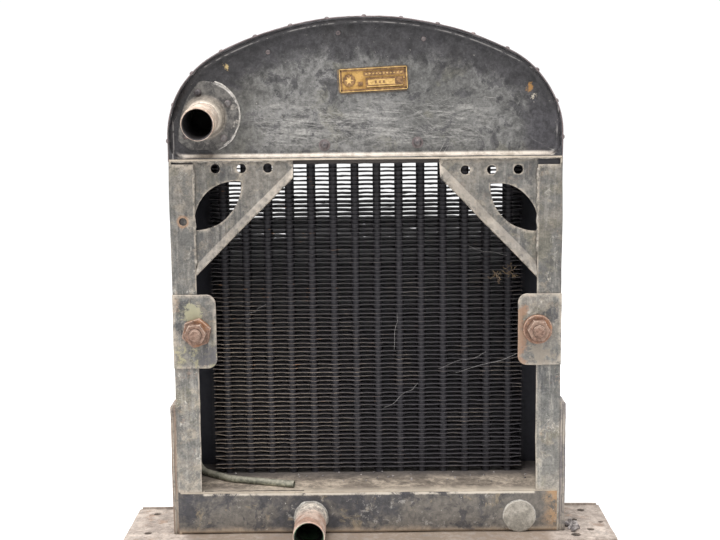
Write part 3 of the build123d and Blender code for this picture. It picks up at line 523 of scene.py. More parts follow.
def stamped_brass():
    """Ochre brass plate, flecked brown, with painted brown shade in the corners of its relief."""
    s = Shade("stamped_brass")
    broad = s.noise(70.0, 8.0, 0.7, 0.4)
    fine = s.noise(420.0, 6.0, 0.7, seed=2)
    s.colour = s.tones(broad, 0.4, 0.6, (0.31, 0.17, 0.042), (0.5, 0.3, 0.09))
    s.coat((0.17, 0.08, 0.028), s.ramp(fine, 0.52, 0.64), 0.5)
    # painted shade in the corners of the relief
    s.coat((0.075, 0.036, 0.016), s.hollows(0.0022), 0.9)
    return s.finish(0.5, 0.3, (fine, 0.0002, 0.6))


def fin_metal():
    """Sooty thin fins whose outer edges are dusty brown, most of all low on the left."""
    s = Shade("fin_metal")
    patch = s.noise(18.0, 8.0, 0.74, 0.4)
    fine = s.noise(260.0, 6.0, 0.74, seed=3)
    s.colour = s.tones(fine, 0.4, 0.7, (0.062, 0.056, 0.064), (0.115, 0.106, 0.116))
    across = s.along(0, 0.04, CORE_LOW.x)
    down = s.along(2, 0.33, 0.15)
    patchy = s.times(s.ramp(patch, 0.5, 0.66), s.along(2, 0.36, 0.22), 0.45)
    dusty = s.math("ADD", s.times(across, down, 0.8), patchy)
    dusty = s.math("MINIMUM", s.math("ADD", dusty, 0.02), 1.0)
    edge = s.ramp(s.size_of(s.facing(1)), 0.4, 0.8)
    brown = s.tones(fine, 0.38, 0.62, (0.21, 0.16, 0.12), (0.52, 0.415, 0.31))
    s.coat((0.022, 0.02, 0.023), edge, 0.75)
    s.coat(brown, edge, dusty)
    settled = s.times(s.turned(2, 0.3, 0.9), s.along(1, CORE_LOW.y + 0.014, CORE_LOW.y))
    s.coat((0.13, 0.112, 0.105), s.times(settled, dusty), 0.6)
    rust = s.times(edge, s.spots(0.6, 0.66, 45.0, 6.0, 0.74, seed=12), s.math("ADD", across, 0.15))
    s.coat((0.42, 0.2, 0.075), rust, 0.8)
    return s.finish(0.75, 0.05, (fine, 0.0003, 0.4))


def tube_metal():
    """Sooty tubes."""
    s = Shade("tube_metal")
    fine = s.noise(120.0, 8.0, 0.7)
    s.colour = s.tones(fine, 0.4, 0.66, (0.028, 0.026, 0.031), (0.052, 0.048, 0.054))
    return s.finish(0.7, 0.1, (fine, 0.0004, 0.5))


def dusty_sheet():
    """Header plates under years of tan dust and crumbs, darker towards the core, with painted shade on the
    top header back from its rear edge.
    """
    s = Shade("dusty_sheet")
    broad = s.noise(22.0, 10.0, 0.74, 0.4)
    mottle = s.noise(95.0, 9.0, 0.78, 0.3, seed=2)
    crumbs = s.spots(0.6, 0.68, 300.0, 4.0, 0.6, 0.3, seed=5)
    s.colour = s.tones(broad, 0.42, 0.58, (0.175, 0.143, 0.114), (0.37, 0.307, 0.242))
    s.vary(mottle, 0.58, 1.42)
    s.coat((0.075, 0.062, 0.05), crumbs, 0.6)
    s.coat((0.5, 0.43, 0.345), s.ragged(s.axis(1), mottle, 0.02, REAR + 0.018, REAR), 0.6)
    # darker towards and under the core
    s.coat((0.07, 0.06, 0.058), s.along(1, CORE_LOW.y - 0.034, CORE_LOW.y), 0.85)
    # painted shade on the top header, back from its rear edge
    upper = s.times(s.along(2, 0.35, 0.4), s.along(1, REAR + 0.001, REAR + 0.003))
    s.coat((0.06, 0.05, 0.046), upper, 0.8)
    return s.finish(0.9, 0.0, (broad, 0.0015, 0.5), (mottle, 0.0009, 0.7), (crumbs, 0.0006, 0.5))


def tank_sheet():
    """Bottom tank: mottled charcoal with ochre, tan and white stains and a rusty right end."""
    s = Shade("tank_sheet")
    broad = s.noise(16.0, 10.0, 0.72, 0.4)
    blot = s.noise(25.0, 10.0, 0.72, 0.4, seed=4)
    mottle = s.noise(120.0, 9.0, 0.78, 0.3, seed=2)
    x, z = s.axis(0), s.axis(2)
    s.colour = s.tones(broad, 0.45, 0.56, (0.058, 0.055, 0.058), (0.14, 0.124, 0.108))
    s.coat((0.04, 0.038, 0.044), s.ramp(blot, 0.53, 0.575), 0.75)
    s.coat((0.3, 0.235, 0.15), s.spots(0.565, 0.62, 34.0, 9.0, 0.76, 0.4, seed=6), 0.5)
    s.coat((0.36, 0.335, 0.305), s.spots(0.585, 0.625, 55.0, 9.0, 0.8, 0.4, seed=9), 0.6)
    s.vary(mottle, 0.68, 1.34)
    s.coat((0.64, 0.61, 0.56), s.spots(0.64, 0.68, 190.0, 7.0, 0.76, seed=15), 0.8)
    ends = s.ragged(x, blot, 0.07, HALF - 0.024, HALF - 0.004)
    s.coat((0.42, 0.25, 0.12), s.times(ends, s.ramp(mottle, 0.42, 0.54)), 0.75)
    foot = s.ragged(z, blot, 0.024, DECK + 0.009, DECK)
    s.coat((0.46, 0.36, 0.265), foot, 0.8)
    rim = s.times(s.ragged(z, mottle, 0.004, TANK_TOP - 0.0055, TANK_TOP - 0.0035),
                  s.ramp(s.size_of(x), 0.193, 0.19))
    s.coat((0.62, 0.55, 0.46), s.times(rim, s.ramp(blot, 0.6, 0.5)), 0.85)
    rough = s.rise(mottle, 0.3, 0.7, 0.42, 0.3)
    return s.finish(rough, 0.2, (blot, 0.0014, 0.45), (mottle, 0.0006, 0.6))


def disc_sheet():
    """The paler disc soldered over the unused outlet."""
    s = Shade("disc_sheet")
    broad = s.noise(70.0, 9.0, 0.72, 0.6)
    fine = s.noise(300.0, 6.0, 0.7, seed=2)
    s.colour = s.tones(broad, 0.4, 0.6, (0.235, 0.213, 0.18), (0.36, 0.327, 0.28))
    s.vary(fine, 0.76, 1.22, 0.16)
    s.coat((0.6, 0.55, 0.48), s.edges(0.51, 0.55), 0.6)
    return s.finish(0.7, 0.1, (broad, 0.0006, 0.4), (fine, 0.0003, 0.5))


def base_sheet():
    """Base plate: dry pinkish-tan dirt over rust, with pits, darker rings and painted shade in its hollows.
    """
    s = Shade("base_sheet")
    broad = s.noise(16.0, 10.0, 0.72, 0.4)
    mottle = s.noise(120.0, 9.0, 0.78, 0.3, seed=3)
    s.colour = s.tones(broad, 0.42, 0.58, (0.3, 0.248, 0.213), (0.435, 0.368, 0.318))
    s.coat((0.25, 0.15, 0.095), s.spots(0.57, 0.63, 42.0, 9.0, 0.76, 0.4, seed=8), 0.6)
    s.coat((0.22, 0.2, 0.185), s.spots(0.575, 0.625, 60.0, 9.0, 0.78, 0.4, seed=13), 0.55)
    s.vary(mottle, 0.7, 1.28)
    pits = s.spots(0.62, 0.67, 260.0, 5.0, 0.7, seed=10)
    s.coat((0.13, 0.09, 0.06), pits, 0.65)
    under = s.ramp(s.size_of(s.axis(0)), HALF - 0.004, HALF - 0.02)
    s.coat((0.2, 0.15, 0.11), s.times(under, s.ramp(mottle, 0.36, 0.54)), 0.85)
    # painted shade in the hollows
    s.coat((0.1, 0.075, 0.055), s.hollows(0.006), 0.6)
    back = s.times(s.along(1, FRONT, FRONT + 0.012), s.turned(1, -0.3, -0.8))
    s.coat((0.16, 0.15, 0.155), back, 0.8)
    return s.finish(0.85, 0.0, (broad, 0.001, 0.4), (mottle, 0.0006, 0.7), (pits, 0.0004, 0.5))


def tarnished_brass():
    """Dark brass of the filler bush and the drain tap, with painted shade in its hollows."""
    s = Shade("tarnished_brass")
    broad = s.noise(90.0, 8.0, 0.66, 0.5)
    s.colour = s.tones(broad, 0.38, 0.64, (0.13, 0.1, 0.055), (0.32, 0.245, 0.115))
    s.coat((0.5, 0.38, 0.18), s.edges(0.51, 0.56), 0.55)
    # painted shade in the hollows
    s.coat((0.05, 0.055, 0.035), s.hollows(0.006), 0.6)
    return s.finish(0.5, 0.5, (broad, 0.0004, 0.4))


def dull(name, dark, light, rough=0.7):
    """Small trim: solder, crumbs of dirt, dry grass, cobweb."""
    s = Shade(name)
    broad = s.noise(150.0, 8.0, 0.72, 0.8)
    s.colour = s.tones(broad, 0.4, 0.62, dark, light)
    return s.finish(rough, 0.1, (broad, 0.0006, 0.6))


# --- Mesh helpers ---
def cad_copy(*nodes):
    """The CAD nodes' meshes welded into one bmesh."""
    bm = bmesh.new()
    for node in nodes:
        bm.from_mesh(NODES[node].data)
    bmesh.ops.remove_doubles(bm, verts=bm.verts[:], dist=0.003 * MM)
    return bm


def round_edges(bm, width, angle=28.0):
    """Take the sharp edges off sheet and plate."""
    bmesh.ops.dissolve_limit(bm, angle_limit=math.radians(0.3), verts=bm.verts[:], edges=bm.edges[:])
    sharp = [e for e in bm.edges if e.is_manifold and e.calc_face_angle() > math.radians(angle)]
    bmesh.ops.bevel(bm, geom=sharp, offset=width, segments=2, profile=0.6, affect="EDGES",
                    clamp_overlap=True)


def grid_cut(bm, steps):
    """Cut flat faces along X, Y and Z at about these steps, so that they can bend."""
    for axis, step in enumerate(steps):
        if not step:
            continue
        places = [v.co[axis] for v in bm.verts]
        start, end = min(places), max(places)
        count = int((end - start) / step)
        for i in range(1, count + 1):
            point, normal = Vector(), Vector()
            point[axis] = start + i * (end - start) / (count + 1)
            normal[axis] = 1
            everything = bm.verts[:] + bm.edges[:] + bm.faces[:]
            bmesh.ops.bisect_plane(bm, geom=everything, dist=1e-6, plane_co=point, plane_no=normal)


def dent(bm, size, depth, seed=0.0, weights=(1, 1, 1)):
    """Move the surface by smooth noise: size is how wide the dents are."""
    shift = Vector((seed * 7.3, seed * 3.1, seed * 1.7))
    for v in bm.verts:
        move = noise.noise_vector(v.co / size + shift) * depth
        v.co += Vector((move.x * weights[0], move.y * weights[1], move.z * weights[2]))


def roughen(bm, size, depth, seed=0.0):
    """Push each point along its normal by noise."""
    bm.normal_update()
    shift = Vector((seed * 5.1, seed * 2.9, seed * 4.3))
    moves = [(v, v.normal * noise.noise(v.co / size + shift) * depth) for v in bm.verts]
    for v, move in moves:
        v.co += move


def remesh(bm, voxel):
    """Even, softly rounded mesh of a solid, as wear leaves it."""
    mesh = bpy.data.meshes.new("solid")
    bm.to_mesh(mesh)
    bm.free()
    holder = show("solid", mesh)
    modifier = holder.modifiers.new("even", "REMESH")
    modifier.mode = "VOXEL"
    modifier.voxel_size = voxel
    found = holder.evaluated_get(bpy.context.evaluated_depsgraph_get())
    even = bmesh.new()
    even.from_mesh(found.to_mesh())
    found.to_mesh_clear()
    bpy.data.objects.remove(holder)
    bpy.data.meshes.remove(mesh)
    return even


def make_piece(name, bm, material, slot, *replaced, smooth=38.0, body=BODY):
    """A finished object that rides on its body."""
    bmesh.ops.recalc_face_normals(bm, faces=bm.faces[:])
    mesh = bpy.data.meshes.new(name)
    bm.to_mesh(mesh)
    bm.free()
    mesh.polygons.foreach_set("use_smooth", [True] * len(mesh.polygons))
    mesh.set_sharp_from_angle(angle=math.radians(smooth))
    mesh.materials.append(material)
    piece = show(name, mesh)
    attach(piece, body)
    if replaced:
        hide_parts(*replaced)
    return piece


def copy_piece(node, material, slot, wear=0.12, body=BODY):
    """A small node with its surface slightly uneven."""
    bm = cad_copy(node)
    dent(bm, 5 * MM, wear * MM, 7)
    make_piece(f"{node}_worn", bm, material, slot, node, body=body)


def worn_sheet(node, material, slot, steps, *dents, edge=0.0, lowest=None):
    """A sheet node cut finely enough to bend, and dented. All sizes but lowest are in mm."""
    bm = cad_copy(node)
    if edge:
        round_edges(bm, edge * MM)
    grid_cut(bm, [step * MM for step in steps])
    for size, depth, *rest in dents:
        dent(bm, size * MM, depth * MM, *rest)
    if lowest is not None:
        for v in bm.verts:
            v.co.z = max(v.co.z, lowest)
    make_piece(f"{node}_worn", bm, material, slot, node)


def worn_solid(node, material, slot, voxel, *rubs, bend=None):
    """A thick node remeshed and roughened; rubs and bend are (size, depth, seed) in mm."""
    bm = remesh(cad_copy(node), voxel * MM)
    for size, depth, seed in rubs:
        roughen(bm, size * MM, depth * MM, seed)
    if bend:
        dent(bm, bend[0] * MM, bend[1] * MM, bend[2])
    make_piece(f"{node}_worn", bm, material, slot, node, smooth=60)


def tube(bm, points, radius, sides=10, wobble=0.0, closed=False):
    """Add a round bar along points; wobble varies its thickness."""
    rings = []
    count = len(points)
    side = None
    for i, point in enumerate(points):
        before = points[i - 1] if i or closed else points[i]
        after = points[(i + 1) % count] if i < count - 1 or closed else points[i]
        along = (after - before).normalized()
        if side is None:
            side = along.orthogonal().normalized()
        side = (side - along * side.dot(along)).normalized()
        up = along.cross(side)
        thick = radius * (1 + wobble * noise.noise(point / 0.006))
        ring = []
        for k in range(sides):
            angle = math.tau * k / sides
            ring.append(bm.verts.new(point + (side * math.cos(angle) + up * math.sin(angle)) * thick))
        rings.append(ring)
    pairs = list(zip(rings, rings[1:]))
    if closed:
        pairs.append((rings[-1], rings[0]))
    for a, b in pairs:
        for k in range(sides):
            bm.faces.new((a[k], a[(k + 1) % sides], b[(k + 1) % sides], b[k]))
    if not closed:
        bm.faces.new(list(reversed(rings[0])))
        bm.faces.new(rings[-1])


# --- Top tank ---
outside = shell_patina()


def top_tank():
    flat = (0.25, 1, 0.25)
    worn_sheet("top_tank_rear_panel", panel_patina(), "lead_patina", (7, 0, 7),
               (70, 0.9, 1, flat), (22, 0.3, 2, (0.3, 1, 0.3)))
    worn_sheet("top_tank_front_panel", outside, "lead_patina", (12, 0, 12), (70, 0.9, 3, flat))
    worn_sheet("top_tank_wrap", outside, "lead_patina", (9, 9, 9), (45, 0.8, 4), (14, 0.2, 5))
    for node in ("wrap_rivets", "inlet_rivets", "panel_rivets", "tank_stay_rods", "stay_washers",
                 "rivet_backing_plates"):
        slot = "rolled_copper_rivet" if node == "wrap_rivets" else "lead_patina"
        copy_piece(node, outside, slot)


# --- Data plate ---
PLATE_TURN = math.radians(2.6)


def raised(bm, place, outline, height):
    """A low boss on the plate's face with this outline, in the plate's own plane."""
    base = [bm.verts.new(place @ Vector((u, 0.1 * MM, v))) for u, v in outline]
    top = [bm.verts.new(place @ Vector((u, -height, v))) for u, v in outline]
    bm.faces.new(base)
    bm.faces.new(top)
    for i in range(len(outline)):
        j = (i + 1) % len(outline)
        bm.faces.new((base[i], base[j], top[j], top[i]))


def bar(u, v, width, height):
    """Outline of an upright rectangle."""
    return [(u - width / 2, v - height / 2), (u + width / 2, v - height / 2),
            (u + width / 2, v + height / 2), (u - width / 2, v + height / 2)]


def star(u, v, outer, inner, points):
    """Outline of a rosette."""
    corners = []
    for i in range(2 * points):
        radius = inner if i % 2 else outer
        angle = math.pi * i / points
        corners.append((u + radius * math.cos(angle), v + radius * math.sin(angle)))
    return corners


def bars(bm, place, *rows):
    """Upright bars, each (across, up, width, height, rise) in mm."""
    for u, v, w, h, rise in rows:
        raised(bm, place, bar(u * MM, v * MM, w * MM, h * MM), rise * MM)


def border(bm, place, width, height, thick, rise):
    """Four bars round a rectangle of this outer size."""
    up, across = (height - thick) / 2, (width - thick) / 2
    bars(bm, place, (0, up, width, thick, rise), (0, -up, width, thick, rise),
         (across, 0, thick, height, rise), (-across, 0, thick, height, rise))


def data_plate():
    """The stamped plate with a plain rosette, a row of lozenges and an empty box."""
    face = low("data_plate").y + 0.4 * MM
    centre = middle("data_plate")
    place = Matrix.Translation((centre.x, face, centre.z)) @ Matrix.Rotation(-PLATE_TURN, 4, "Y")
    brass = stamped_brass()
    bm = cad_copy("data_plate")
    round_edges(bm, 0.2 * MM)
    make_piece("data_plate_worn", bm, brass, "plate_brass", "data_plate")

    relief = bmesh.new()
    border(relief, place, 75.5, 25.5, 0.9, 1.3)
    raised(relief, place, star(-27 * MM, 0, 5.2 * MM, 2.2 * MM, 6), 1.0 * MM)
    for i in range(11):
        raised(relief, place, star((-7.6 + 3.9 * i) * MM, 6.2 * MM, 1.5 * MM, 0.9 * MM, 2), 1.0 * MM)
    bars(relief, place, (12.5, -8.0, 40, 1.0, 1.0), (9.0, -3.2, 30, 6.0, 0.9))
    light = dull("rubbed_brass", (0.38, 0.235, 0.075), (0.62, 0.405, 0.150), 0.45)
    make_piece("plate_relief", relief, light, "plate_brass")

    # Painted shadow: dark brown shapes round and behind the raised relief, and a few small dark figures in
    # the box.
    shadows_and_figures = bmesh.new()
    border(shadows_and_figures, place, 73.4, 23.4, 1.6, 0.85)
    raised(shadows_and_figures, place, star(-27 * MM, 0, 7.4 * MM, 6.0 * MM, 12), 0.82 * MM)
    bars(shadows_and_figures, place, (12.5, -3.4, 42, 10.2, 0.8), (12.0, 6.2, 45, 4.4, 0.8), (-14.5, -4.2, 5.0, 4.0, 0.82))
    bars(shadows_and_figures, place, *((2.5 + 4.5 * i, -3.2, 2.2, 3.0, 1.0) for i in range(3)))
    bars(shadows_and_figures, place, (26.5, -3.2, 4.0, 4.4, 1.0))
    dark = dull("shadow_figure_brown", (0.10, 0.050, 0.022), (0.27, 0.150, 0.060), 0.7)
    make_piece("plate_shadows_figures", shadows_and_figures, dark, "plate_brass")

    # A dark brown border round the plate, reaching further out to the left and below.
    surround = bmesh.new()
    wide = Matrix.Translation((0, 0.6 * MM, 0)) @ place
    edge = []
    for i in range(96):
        angle = 2 * math.pi * i / 96
        u = 39.6 * math.copysign(abs(math.cos(angle)) ** 0.18, math.cos(angle)) - 0.6
        v = 14.4 * math.copysign(abs(math.sin(angle)) ** 0.18, math.sin(angle)) - 0.4
        stray = 1 + 0.05 * noise.noise(Vector((u / 6, v / 6, 3)))
        edge.append((u * stray * MM, v * stray * MM))
    raised(surround, wide, edge, 0.35 * MM)
    surround_tone = dull("surround_brown", (0.075, 0.060, 0.050), (0.17, 0.125, 0.085), 0.85)
    make_piece("plate_surround", surround, surround_tone, "plate_brass")
    copy_piece("data_plate_pins", brass, "plate_brass", 0.05)


# --- Water inlet and outlet ---
def hose_stubs():
    worn_solid("inlet_flange", flange_patina(), "lead_patina", 0.75, (16, 0.7, 1), (4, 0.2, 2))
    dark, green = (0.030, 0.027, 0.034), (0.09, 0.17, 0.09)
    stubs = (
        ("inlet_pipe", copper_pipe("inlet_copper", INLET, INLET_DROOP, REAR - 0.004, REAR - 0.030,
                                   (0.44, 0.33, 0.255), (0.64, 0.54, 0.45), dark)),
        ("outlet_pipe", copper_pipe("outlet_copper", OUTLET, 0.0, REAR - 0.016, REAR - 0.036,
                                    (0.42, 0.27, 0.205), (0.53, 0.41, 0.34), green)),
    )
    for node, metal in stubs:
        worn_solid(node, metal, "copper_pipe", 0.7, (12, 0.4, 3), (2.5, 0.15, 4), bend=(25, 0.5, 5))


# --- Frame ---
def frame_parts():
    metals = {
        "post": weathered("post_steel", warm=0.55, rust=0.3, pale=0.5, low_pale=1.0),
        "gusset": weathered("gusset_steel", warm=0.55, rust=0.12, pale=0.18, dark=0.8, inside_shade=0.0),
        "bracket_plate": bracket_metal(),
        "side_strap": strap_metal(),
    }
    sizes = {  # width of the rounded edges, steps of the grid
        "post": (0.5, (9, 14, 14)),
        "gusset": (0.7, (7, 0, 7)),
        "bracket_plate": (0.35, (6, 0, 6)),
        "side_strap": (0.4, (0, 8, 8)),
    }
    for seed, side in enumerate(("left", "right")):
        for part, metal in metals.items():
            width, steps = sizes[part]
            worn_sheet(f"{side}_{part}", metal, "frame_steel", steps, (60, 0.9, seed), (16, 0.35, seed + 3),
                       edge=width)
    seams = bmesh.new()
    for x, z_low, z_high in ((-192.6 * MM, 0.318, 0.428), (192.8 * MM, 0.330, 0.424)):
        run = [Vector((x + dice.uniform(-0.4, 0.4) * MM, REAR + 1.2 * MM, z_low + (z_high - z_low) * i / 40))
               for i in range(41)]
        tube(seams, run, 1.3 * MM, 8, 0.6)
    for side in (-1, 1):
        run = [Vector((side * (0.0845 + 0.1335 * i / 60), REAR + 2.2 * MM, ARCH_BASE - 1.9 * MM))
               for i in range(61)]
        tube(seams, run, 1.5 * MM, 8, 0.6)
    metal = dull("seam_metal", (0.15, 0.135, 0.115), (0.38, 0.345, 0.30))
    make_piece("gusset_seams", seams, metal, "frame_steel", smooth=60)


# --- Fasteners ---
def fasteners():
    rust = rusty_steel()
    for node in ("stud_bolts", "left_lock_nut", "right_washer", "stud_nuts"):
        voxel = 0.5 if node == "stud_nuts" else 0.55
        worn_solid(node, rust, "rusty_steel", voxel, (5, 0.35, 1), (1.6, 0.16, 2))
    copy_piece("strap_rivets", rust, "frame_steel")


# --- Core ---
FIN_COUNT = 73
TUBE_PITCH = 26 * MM
FIN_THICK = 0.5 * MM
OPEN_ABOVE = 0.394  # light shows between the fins from this height up
CLOSING = 0.030  # the height over which it stops
FIN_DEPTHS = (0.0, 0.06, 0.2, 0.5, 0.8, 0.94, 1.0)


def fin_lift(x, depth, seed, bulge, tilt):
    """How far a point of a fin stands above its flat place, and how far its edge is pushed in."""
    half = CORE_HIGH.x
    between = abs(math.cos(math.pi * x / TUBE_PITCH))
    edge = (2 * abs(depth - 0.5)) ** 3
    bend = noise.noise(Vector((x / 0.018, depth * 2, seed * 1.37))) * 0.6 * MM
    rag = max(0.0, noise.noise(Vector((x / 0.006, depth, seed * 2.9))) - 0.2) * 1.5 * MM
    frayed = max(0.0, abs(x) / half - 0.93) / 0.07
    curl = noise.noise(Vector((seed * 0.83, depth, math.copysign(4, x)))) * 3.0 * MM * frayed
    lift = bulge * between * (0.25 + 0.75 * edge) + (bend - rag) * edge + curl + tilt * depth
    return lift, noise.noise(Vector((x / 0.012, seed * 3.3, 9))) * 0.5 * MM * edge


def fin(bm, base_z, seed):
    """One closed thin fin: it bulges between the tubes and its free edges are bent."""
    half = CORE_HIGH.x
    count = int(round(2 * half / (TUBE_PITCH / 6)))
    bulge = dice.uniform(0.25, 0.75) * MM
    closing = min(1.0, max(0.0, (OPEN_ABOVE - base_z) / CLOSING + dice.uniform(-0.25, 0.25)))
    tilt = (dice.uniform(-0.9, -0.4) * (1 - closing) + dice.uniform(0.3, 1.7) * closing) * MM
    low_rows, high_rows = [], []
    for along in range(count + 1):
        x = -half + 2 * half * along / count
        lower, upper = [], []
        for depth in FIN_DEPTHS:
            lift, inset = fin_lift(x, depth, seed, bulge, tilt)
            y = CORE_LOW.y + depth * (CORE_HIGH.y - CORE_LOW.y) + (inset if depth < 0.5 else -inset)
            lower.append(bm.verts.new((x, y, base_z + lift)))
            upper.append(bm.verts.new((x, y, base_z + lift + FIN_THICK)))
        low_rows.append(lower)
        high_rows.append(upper)
    deep = len(FIN_DEPTHS) - 1
    for i in range(count):
        for j in range(deep):
            a, b = low_rows[i], low_rows[i + 1]
            bm.faces.new((a[j], a[j + 1], b[j + 1], b[j]))
            a, b = high_rows[i], high_rows[i + 1]
            bm.faces.new((a[j], b[j], b[j + 1], a[j + 1]))
        for j in (0, deep):
            bm.faces.new((low_rows[i][j], low_rows[i + 1][j], high_rows[i + 1][j], high_rows[i][j]))
    for i in (0, count):
        for j in range(deep):
            bm.faces.new((low_rows[i][j], high_rows[i][j], high_rows[i][j + 1], low_rows[i][j + 1]))


def core():
    fins = bmesh.new()
    pitch = (CORE_HIGH.z - CORE_LOW.z) / (FIN_COUNT - 1)
    for i in range(FIN_COUNT):
        fin(fins, CORE_LOW.z + i * pitch + dice.uniform(-0.25, 0.25) * MM, i)
    make_piece("core_fins_worn", fins, fin_metal(), "fin_black", "core_fins", smooth=50)
    tubes = tube_metal()
    for row in ("rear", "middle", "front"):
        copy_piece(f"core_tubes_{row}", tubes, "tube_dark", 0.2)
    copy_piece("baffle_plate", tubes, "tube_dark")


# --- Headers, bottom tank and base ---
def lower_parts():
    dust = dusty_sheet()
    worn_sheet("bottom_header_plate", dust, "header_dust", (8, 8, 0), (30, 0.5, 1), edge=0.5)
    copy_piece("top_header_plate", dust, "header_dust")
    flat = (0.4, 1, 0.4)
    worn_sheet("bottom_tank_shell", tank_sheet(), "tank_patina", (8, 12, 8),
               (50, 0.8, 2, flat), (15, 0.25, 3, flat), edge=0.4)
    worn_solid("blanking_disc", disc_sheet(), "tank_patina", 0.5, (8, 0.35, 1))
    worn_sheet("base_plate", base_sheet(), "base_rust", (9, 9, 0),
               (80, 0.9, 4, (0.6, 0.6, 0.5)), (20, 0.3, 5, (1, 1, 0.5)), edge=0.4, lowest=cad_low.z)


# --- Small fittings ---
def fittings():
    green = verdigris()
    for node in ("overflow_pipe", "overflow_clips"):
        copy_piece(node, green, "verdigris_pipe", 0.5)
    brass = tarnished_brass()
    copy_piece("filler_bush", brass, "bush_brass")
    copy_piece("drain_tap_body", brass, "bush_brass", 0.0)
    copy_piece("drain_tap_key", brass, "bush_brass", 0.0, "tap_key")


# --- Solder, dirt and dry grass ---
def ring_run(x, z, y, radius, start, end, count):
    """Points along an arc in the plane of the end faces."""
    steps = [math.radians(start + (end - start) * i / count) for i in range(count + 1)]
    return [Vector((x + radius * math.cos(a), y, z + radius * math.sin(a))) for a in steps]


def beads():
    solder = dull("solder", (0.22, 0.205, 0.185), (0.50, 0.47, 0.43), 0.5)
    bm = bmesh.new()
    corner = high("inlet_flange")
    flange_x, flange_z = corner.x - 40 * MM, middle("inlet_flange").z
    run = ring_run(flange_x, flange_z, corner.y - 0.9 * MM, 39.2 * MM, -58, 72, 60)
    tube(bm, run, 1.0 * MM, 8, 0.5)
    disc = middle("blanking_disc")
    ring = ring_run(disc.x, disc.z, REAR - 0.3 * MM, 18.6 * MM, 0, 354, 60)
    tube(bm, ring, 0.8 * MM, 8, 0.6, closed=True)
    ring = ring_run(OUTLET.x, OUTLET.z, REAR - 0.6 * MM, 18.4 * MM, 0, 354, 60)
    tube(bm, ring, 1.7 * MM, 8, 0.5, closed=True)
    make_piece("solder_beads", bm, solder, "lead_patina", smooth=60)


def dirt():
    crack = bmesh.new()
    run = [Vector((-0.190 + 0.115 * i / 50, REAR + 3.2 * MM + 0.5 * MM * math.sin(i), TANK_TOP - 0.2 * MM))
           for i in range(51)]
    tube(crack, run, 0.9 * MM, 6, 0.5)
    dark = dull("crack_dark", (0.02, 0.016, 0.013), (0.06, 0.045, 0.035))
    make_piece("tank_crack", crack, dark, "header_dust", smooth=60)

    crumbs = bmesh.new()
    for _ in range(46):
        right = dice.random() < 0.35
        if right:
            place = Vector((dice.uniform(0.231, 0.243), dice.uniform(-0.040, -0.004),
                            DECK + dice.uniform(1, 3) * MM))
        else:
            place = Vector((dice.uniform(-0.18, 0.19), dice.uniform(REAR + 0.030, CORE_LOW.y),
                            TANK_TOP + 0.4 * MM))
        size = dice.uniform(*((1.6, 4.2) if right else (0.7, 1.5))) * MM
        lump = bmesh.ops.create_icosphere(crumbs, subdivisions=2, radius=size)["verts"]
        for v in lump:
            v.co *= 1 + 0.5 * noise.noise(v.co / (0.9 * MM) + place * 40)
            v.co += place
    earth = dull("crumb_dirt", (0.12, 0.105, 0.105), (0.46, 0.42, 0.40), 0.95)
    make_piece("crumbs", crumbs, earth, "header_dust", smooth=60)


def strand(bm, start, end, sag, curl, radius):
    """A thin stalk or thread from start to end."""
    run = []
    for i in range(25):
        t = i / 24
        stray = noise.noise_vector(start * 60 + Vector((t * 3, 0, 0))) * curl * math.sin(math.pi * t)
        run.append(start.lerp(end, t) + stray - Vector((0, 0, sag * 4 * t * (1 - t))))
    tube(bm, run, radius, 5, 0.2)


TWIG = Vector((0.1655, 3 * MM, 0.303))
TUFT = Vector((0.1485, 3 * MM, 0.296))
WEB_THREADS = (  # two ends each
    ((0.176, -0.030, 0.215), (0.105, 0.030, 0.178)), ((0.140, 0.020, 0.205), (0.085, 0.034, 0.182)),
    ((0.060, 0.034, 0.165), (0.020, 0.036, 0.135)), ((-0.120, 0.034, 0.262), (-0.146, 0.034, 0.250)),
    ((0.036, 0.035, 0.250), (0.032, 0.035, 0.205)), ((0.120, 0.034, 0.330), (0.165, 0.030, 0.318)),
)


def wisps():
    grass = bmesh.new()
    for heart, count, reach in ((TWIG, 9, 0.011), (TUFT, 7, 0.009)):
        for _ in range(count):
            ends = [heart + Vector((dice.uniform(-reach, reach), dice.uniform(-2, 1) * MM,
                                    dice.uniform(-reach, reach))) for _ in range(2)]
            strand(grass, *ends, 0.5 * MM, 4 * MM, 0.22 * MM)
    straw = dull("straw", (0.12, 0.075, 0.045), (0.36, 0.27, 0.16), 0.9)
    make_piece("dry_grass", grass, straw, "header_dust", smooth=60)

    web = bmesh.new()
    for a, b in WEB_THREADS:
        strand(web, Vector(a), Vector(b), 2 * MM, 5 * MM, 0.2 * MM)
    grey = dull("cobweb_grey", (0.16, 0.15, 0.15), (0.36, 0.34, 0.33), 0.9)
    make_piece("cobweb", web, grey, "header_dust", smooth=60)


# --- Camera, light and floor ---
LENS_MM = 62.45
CAMERA_BACK = 1.397  # from the rear face
CAMERA_UP = 0.497  # above the base plate's top
BACKDROP = (  # axis, where the change starts and ends, brightness there
    (1, 0.25, 0.85, 0.62, 1.06),
    (2, 0.30, 1.0, 0.0, 1.1),
)
PITCH, ROLL, YAW = math.radians(7.7), math.radians(0.64), math.radians(0.30)


def camera():
    data = bpy.data.cameras.new("camera")
    data.lens = LENS_MM
    data.sensor_width = 36.0
    seen_from = show("camera", data)
    aim = (Matrix.Rotation(YAW, 3, "Z") @ Matrix.Rotation(math.pi / 2 - PITCH, 3, "X")
           @ Matrix.Rotation(-ROLL, 3, "Z"))
    seen_from.matrix_world = Matrix.Translation((0, REAR - CAMERA_BACK, DECK + CAMERA_UP)) @ aim.to_4x4()
    bpy.context.scene.camera = seen_from


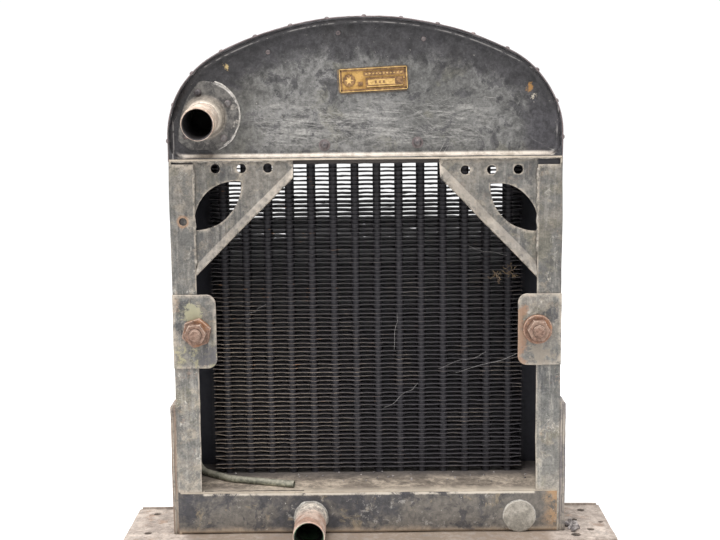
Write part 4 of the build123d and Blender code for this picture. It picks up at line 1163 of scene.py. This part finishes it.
def soft_light(name, place, target, size, watts):
    data = bpy.data.lights.new(name, "AREA")
    data.shape = "SQUARE"
    data.size = size
    data.energy = watts
    lamp = show(name, data)
    lamp.location = place
    lamp.rotation_euler = (Vector(target) - Vector(place)).to_track_quat("-Z", "Y").to_euler()


def studio():
    """White backdrop beyond the object, brighter overhead and dimmer behind the viewer."""
    world = bpy.data.worlds.new("studio")
    world.use_nodes = True
    tree = world.node_tree
    part = tree.nodes.new("ShaderNodeSeparateXYZ")
    tree.links.new(tree.nodes.new("ShaderNodeTexCoord").outputs["Generated"], part.inputs[0])
    total = None
    for axis, *numbers in BACKDROP:
        made = tree.nodes.new("ShaderNodeMapRange")
        made.interpolation_type = "SMOOTHSTEP"
        tree.links.new(part.outputs[axis], made.inputs["Value"])
        for key, number in zip(RANGE_KEYS, numbers):
            made.inputs[key].default_value = number
        if total is None:
            total = made.outputs["Result"]
        else:
            add = tree.nodes.new("ShaderNodeMath")
            tree.links.new(total, add.inputs[0])
            tree.links.new(made.outputs["Result"], add.inputs[1])
            total = add.outputs[0]
    tree.nodes["Background"].inputs["Color"].default_value = (1, 1, 1, 1)
    tree.links.new(total, tree.nodes["Background"].inputs["Strength"])
    bpy.context.scene.world = world
    bpy.context.scene.view_settings.view_transform = "Standard"
    soft_light("overhead", (-0.3, -0.8, 2.0), (0, 0, 0.3), 1.2, 40)
    floor = bmesh.new()
    bmesh.ops.create_circle(floor, cap_ends=True, segments=96, radius=4.0)
    mesh = bpy.data.meshes.new("floor")
    floor.to_mesh(mesh)
    floor.free()
    pale = Shade("pale_floor")
    pale.colour = pale.mix(pale.noise(3.0), (0.93, 0.93, 0.93), (0.95, 0.95, 0.95))
    near, far = low("base_plate"), high("base_plate")
    # painted shadow on the floor under the base plate, seen through its holes
    under = pale.times(pale.ramp(pale.size_of(pale.axis(0)), far.x - 0.001, far.x - 0.004),
                       pale.along(1, near.y + 0.001, near.y + 0.004),
                       pale.along(1, far.y - 0.001, far.y - 0.004))
    pale.coat((0.05, 0.04, 0.035), under)
    mesh.materials.append(pale.finish(0.9, 0.0))
    ground = show("floor", mesh)
    ground.location.z = cad_low.z - 0.2 * MM


camera()
studio()
top_tank()
data_plate()
hose_stubs()
frame_parts()
fasteners()
core()
lower_parts()
fittings()
beads()
dirt()
wisps()
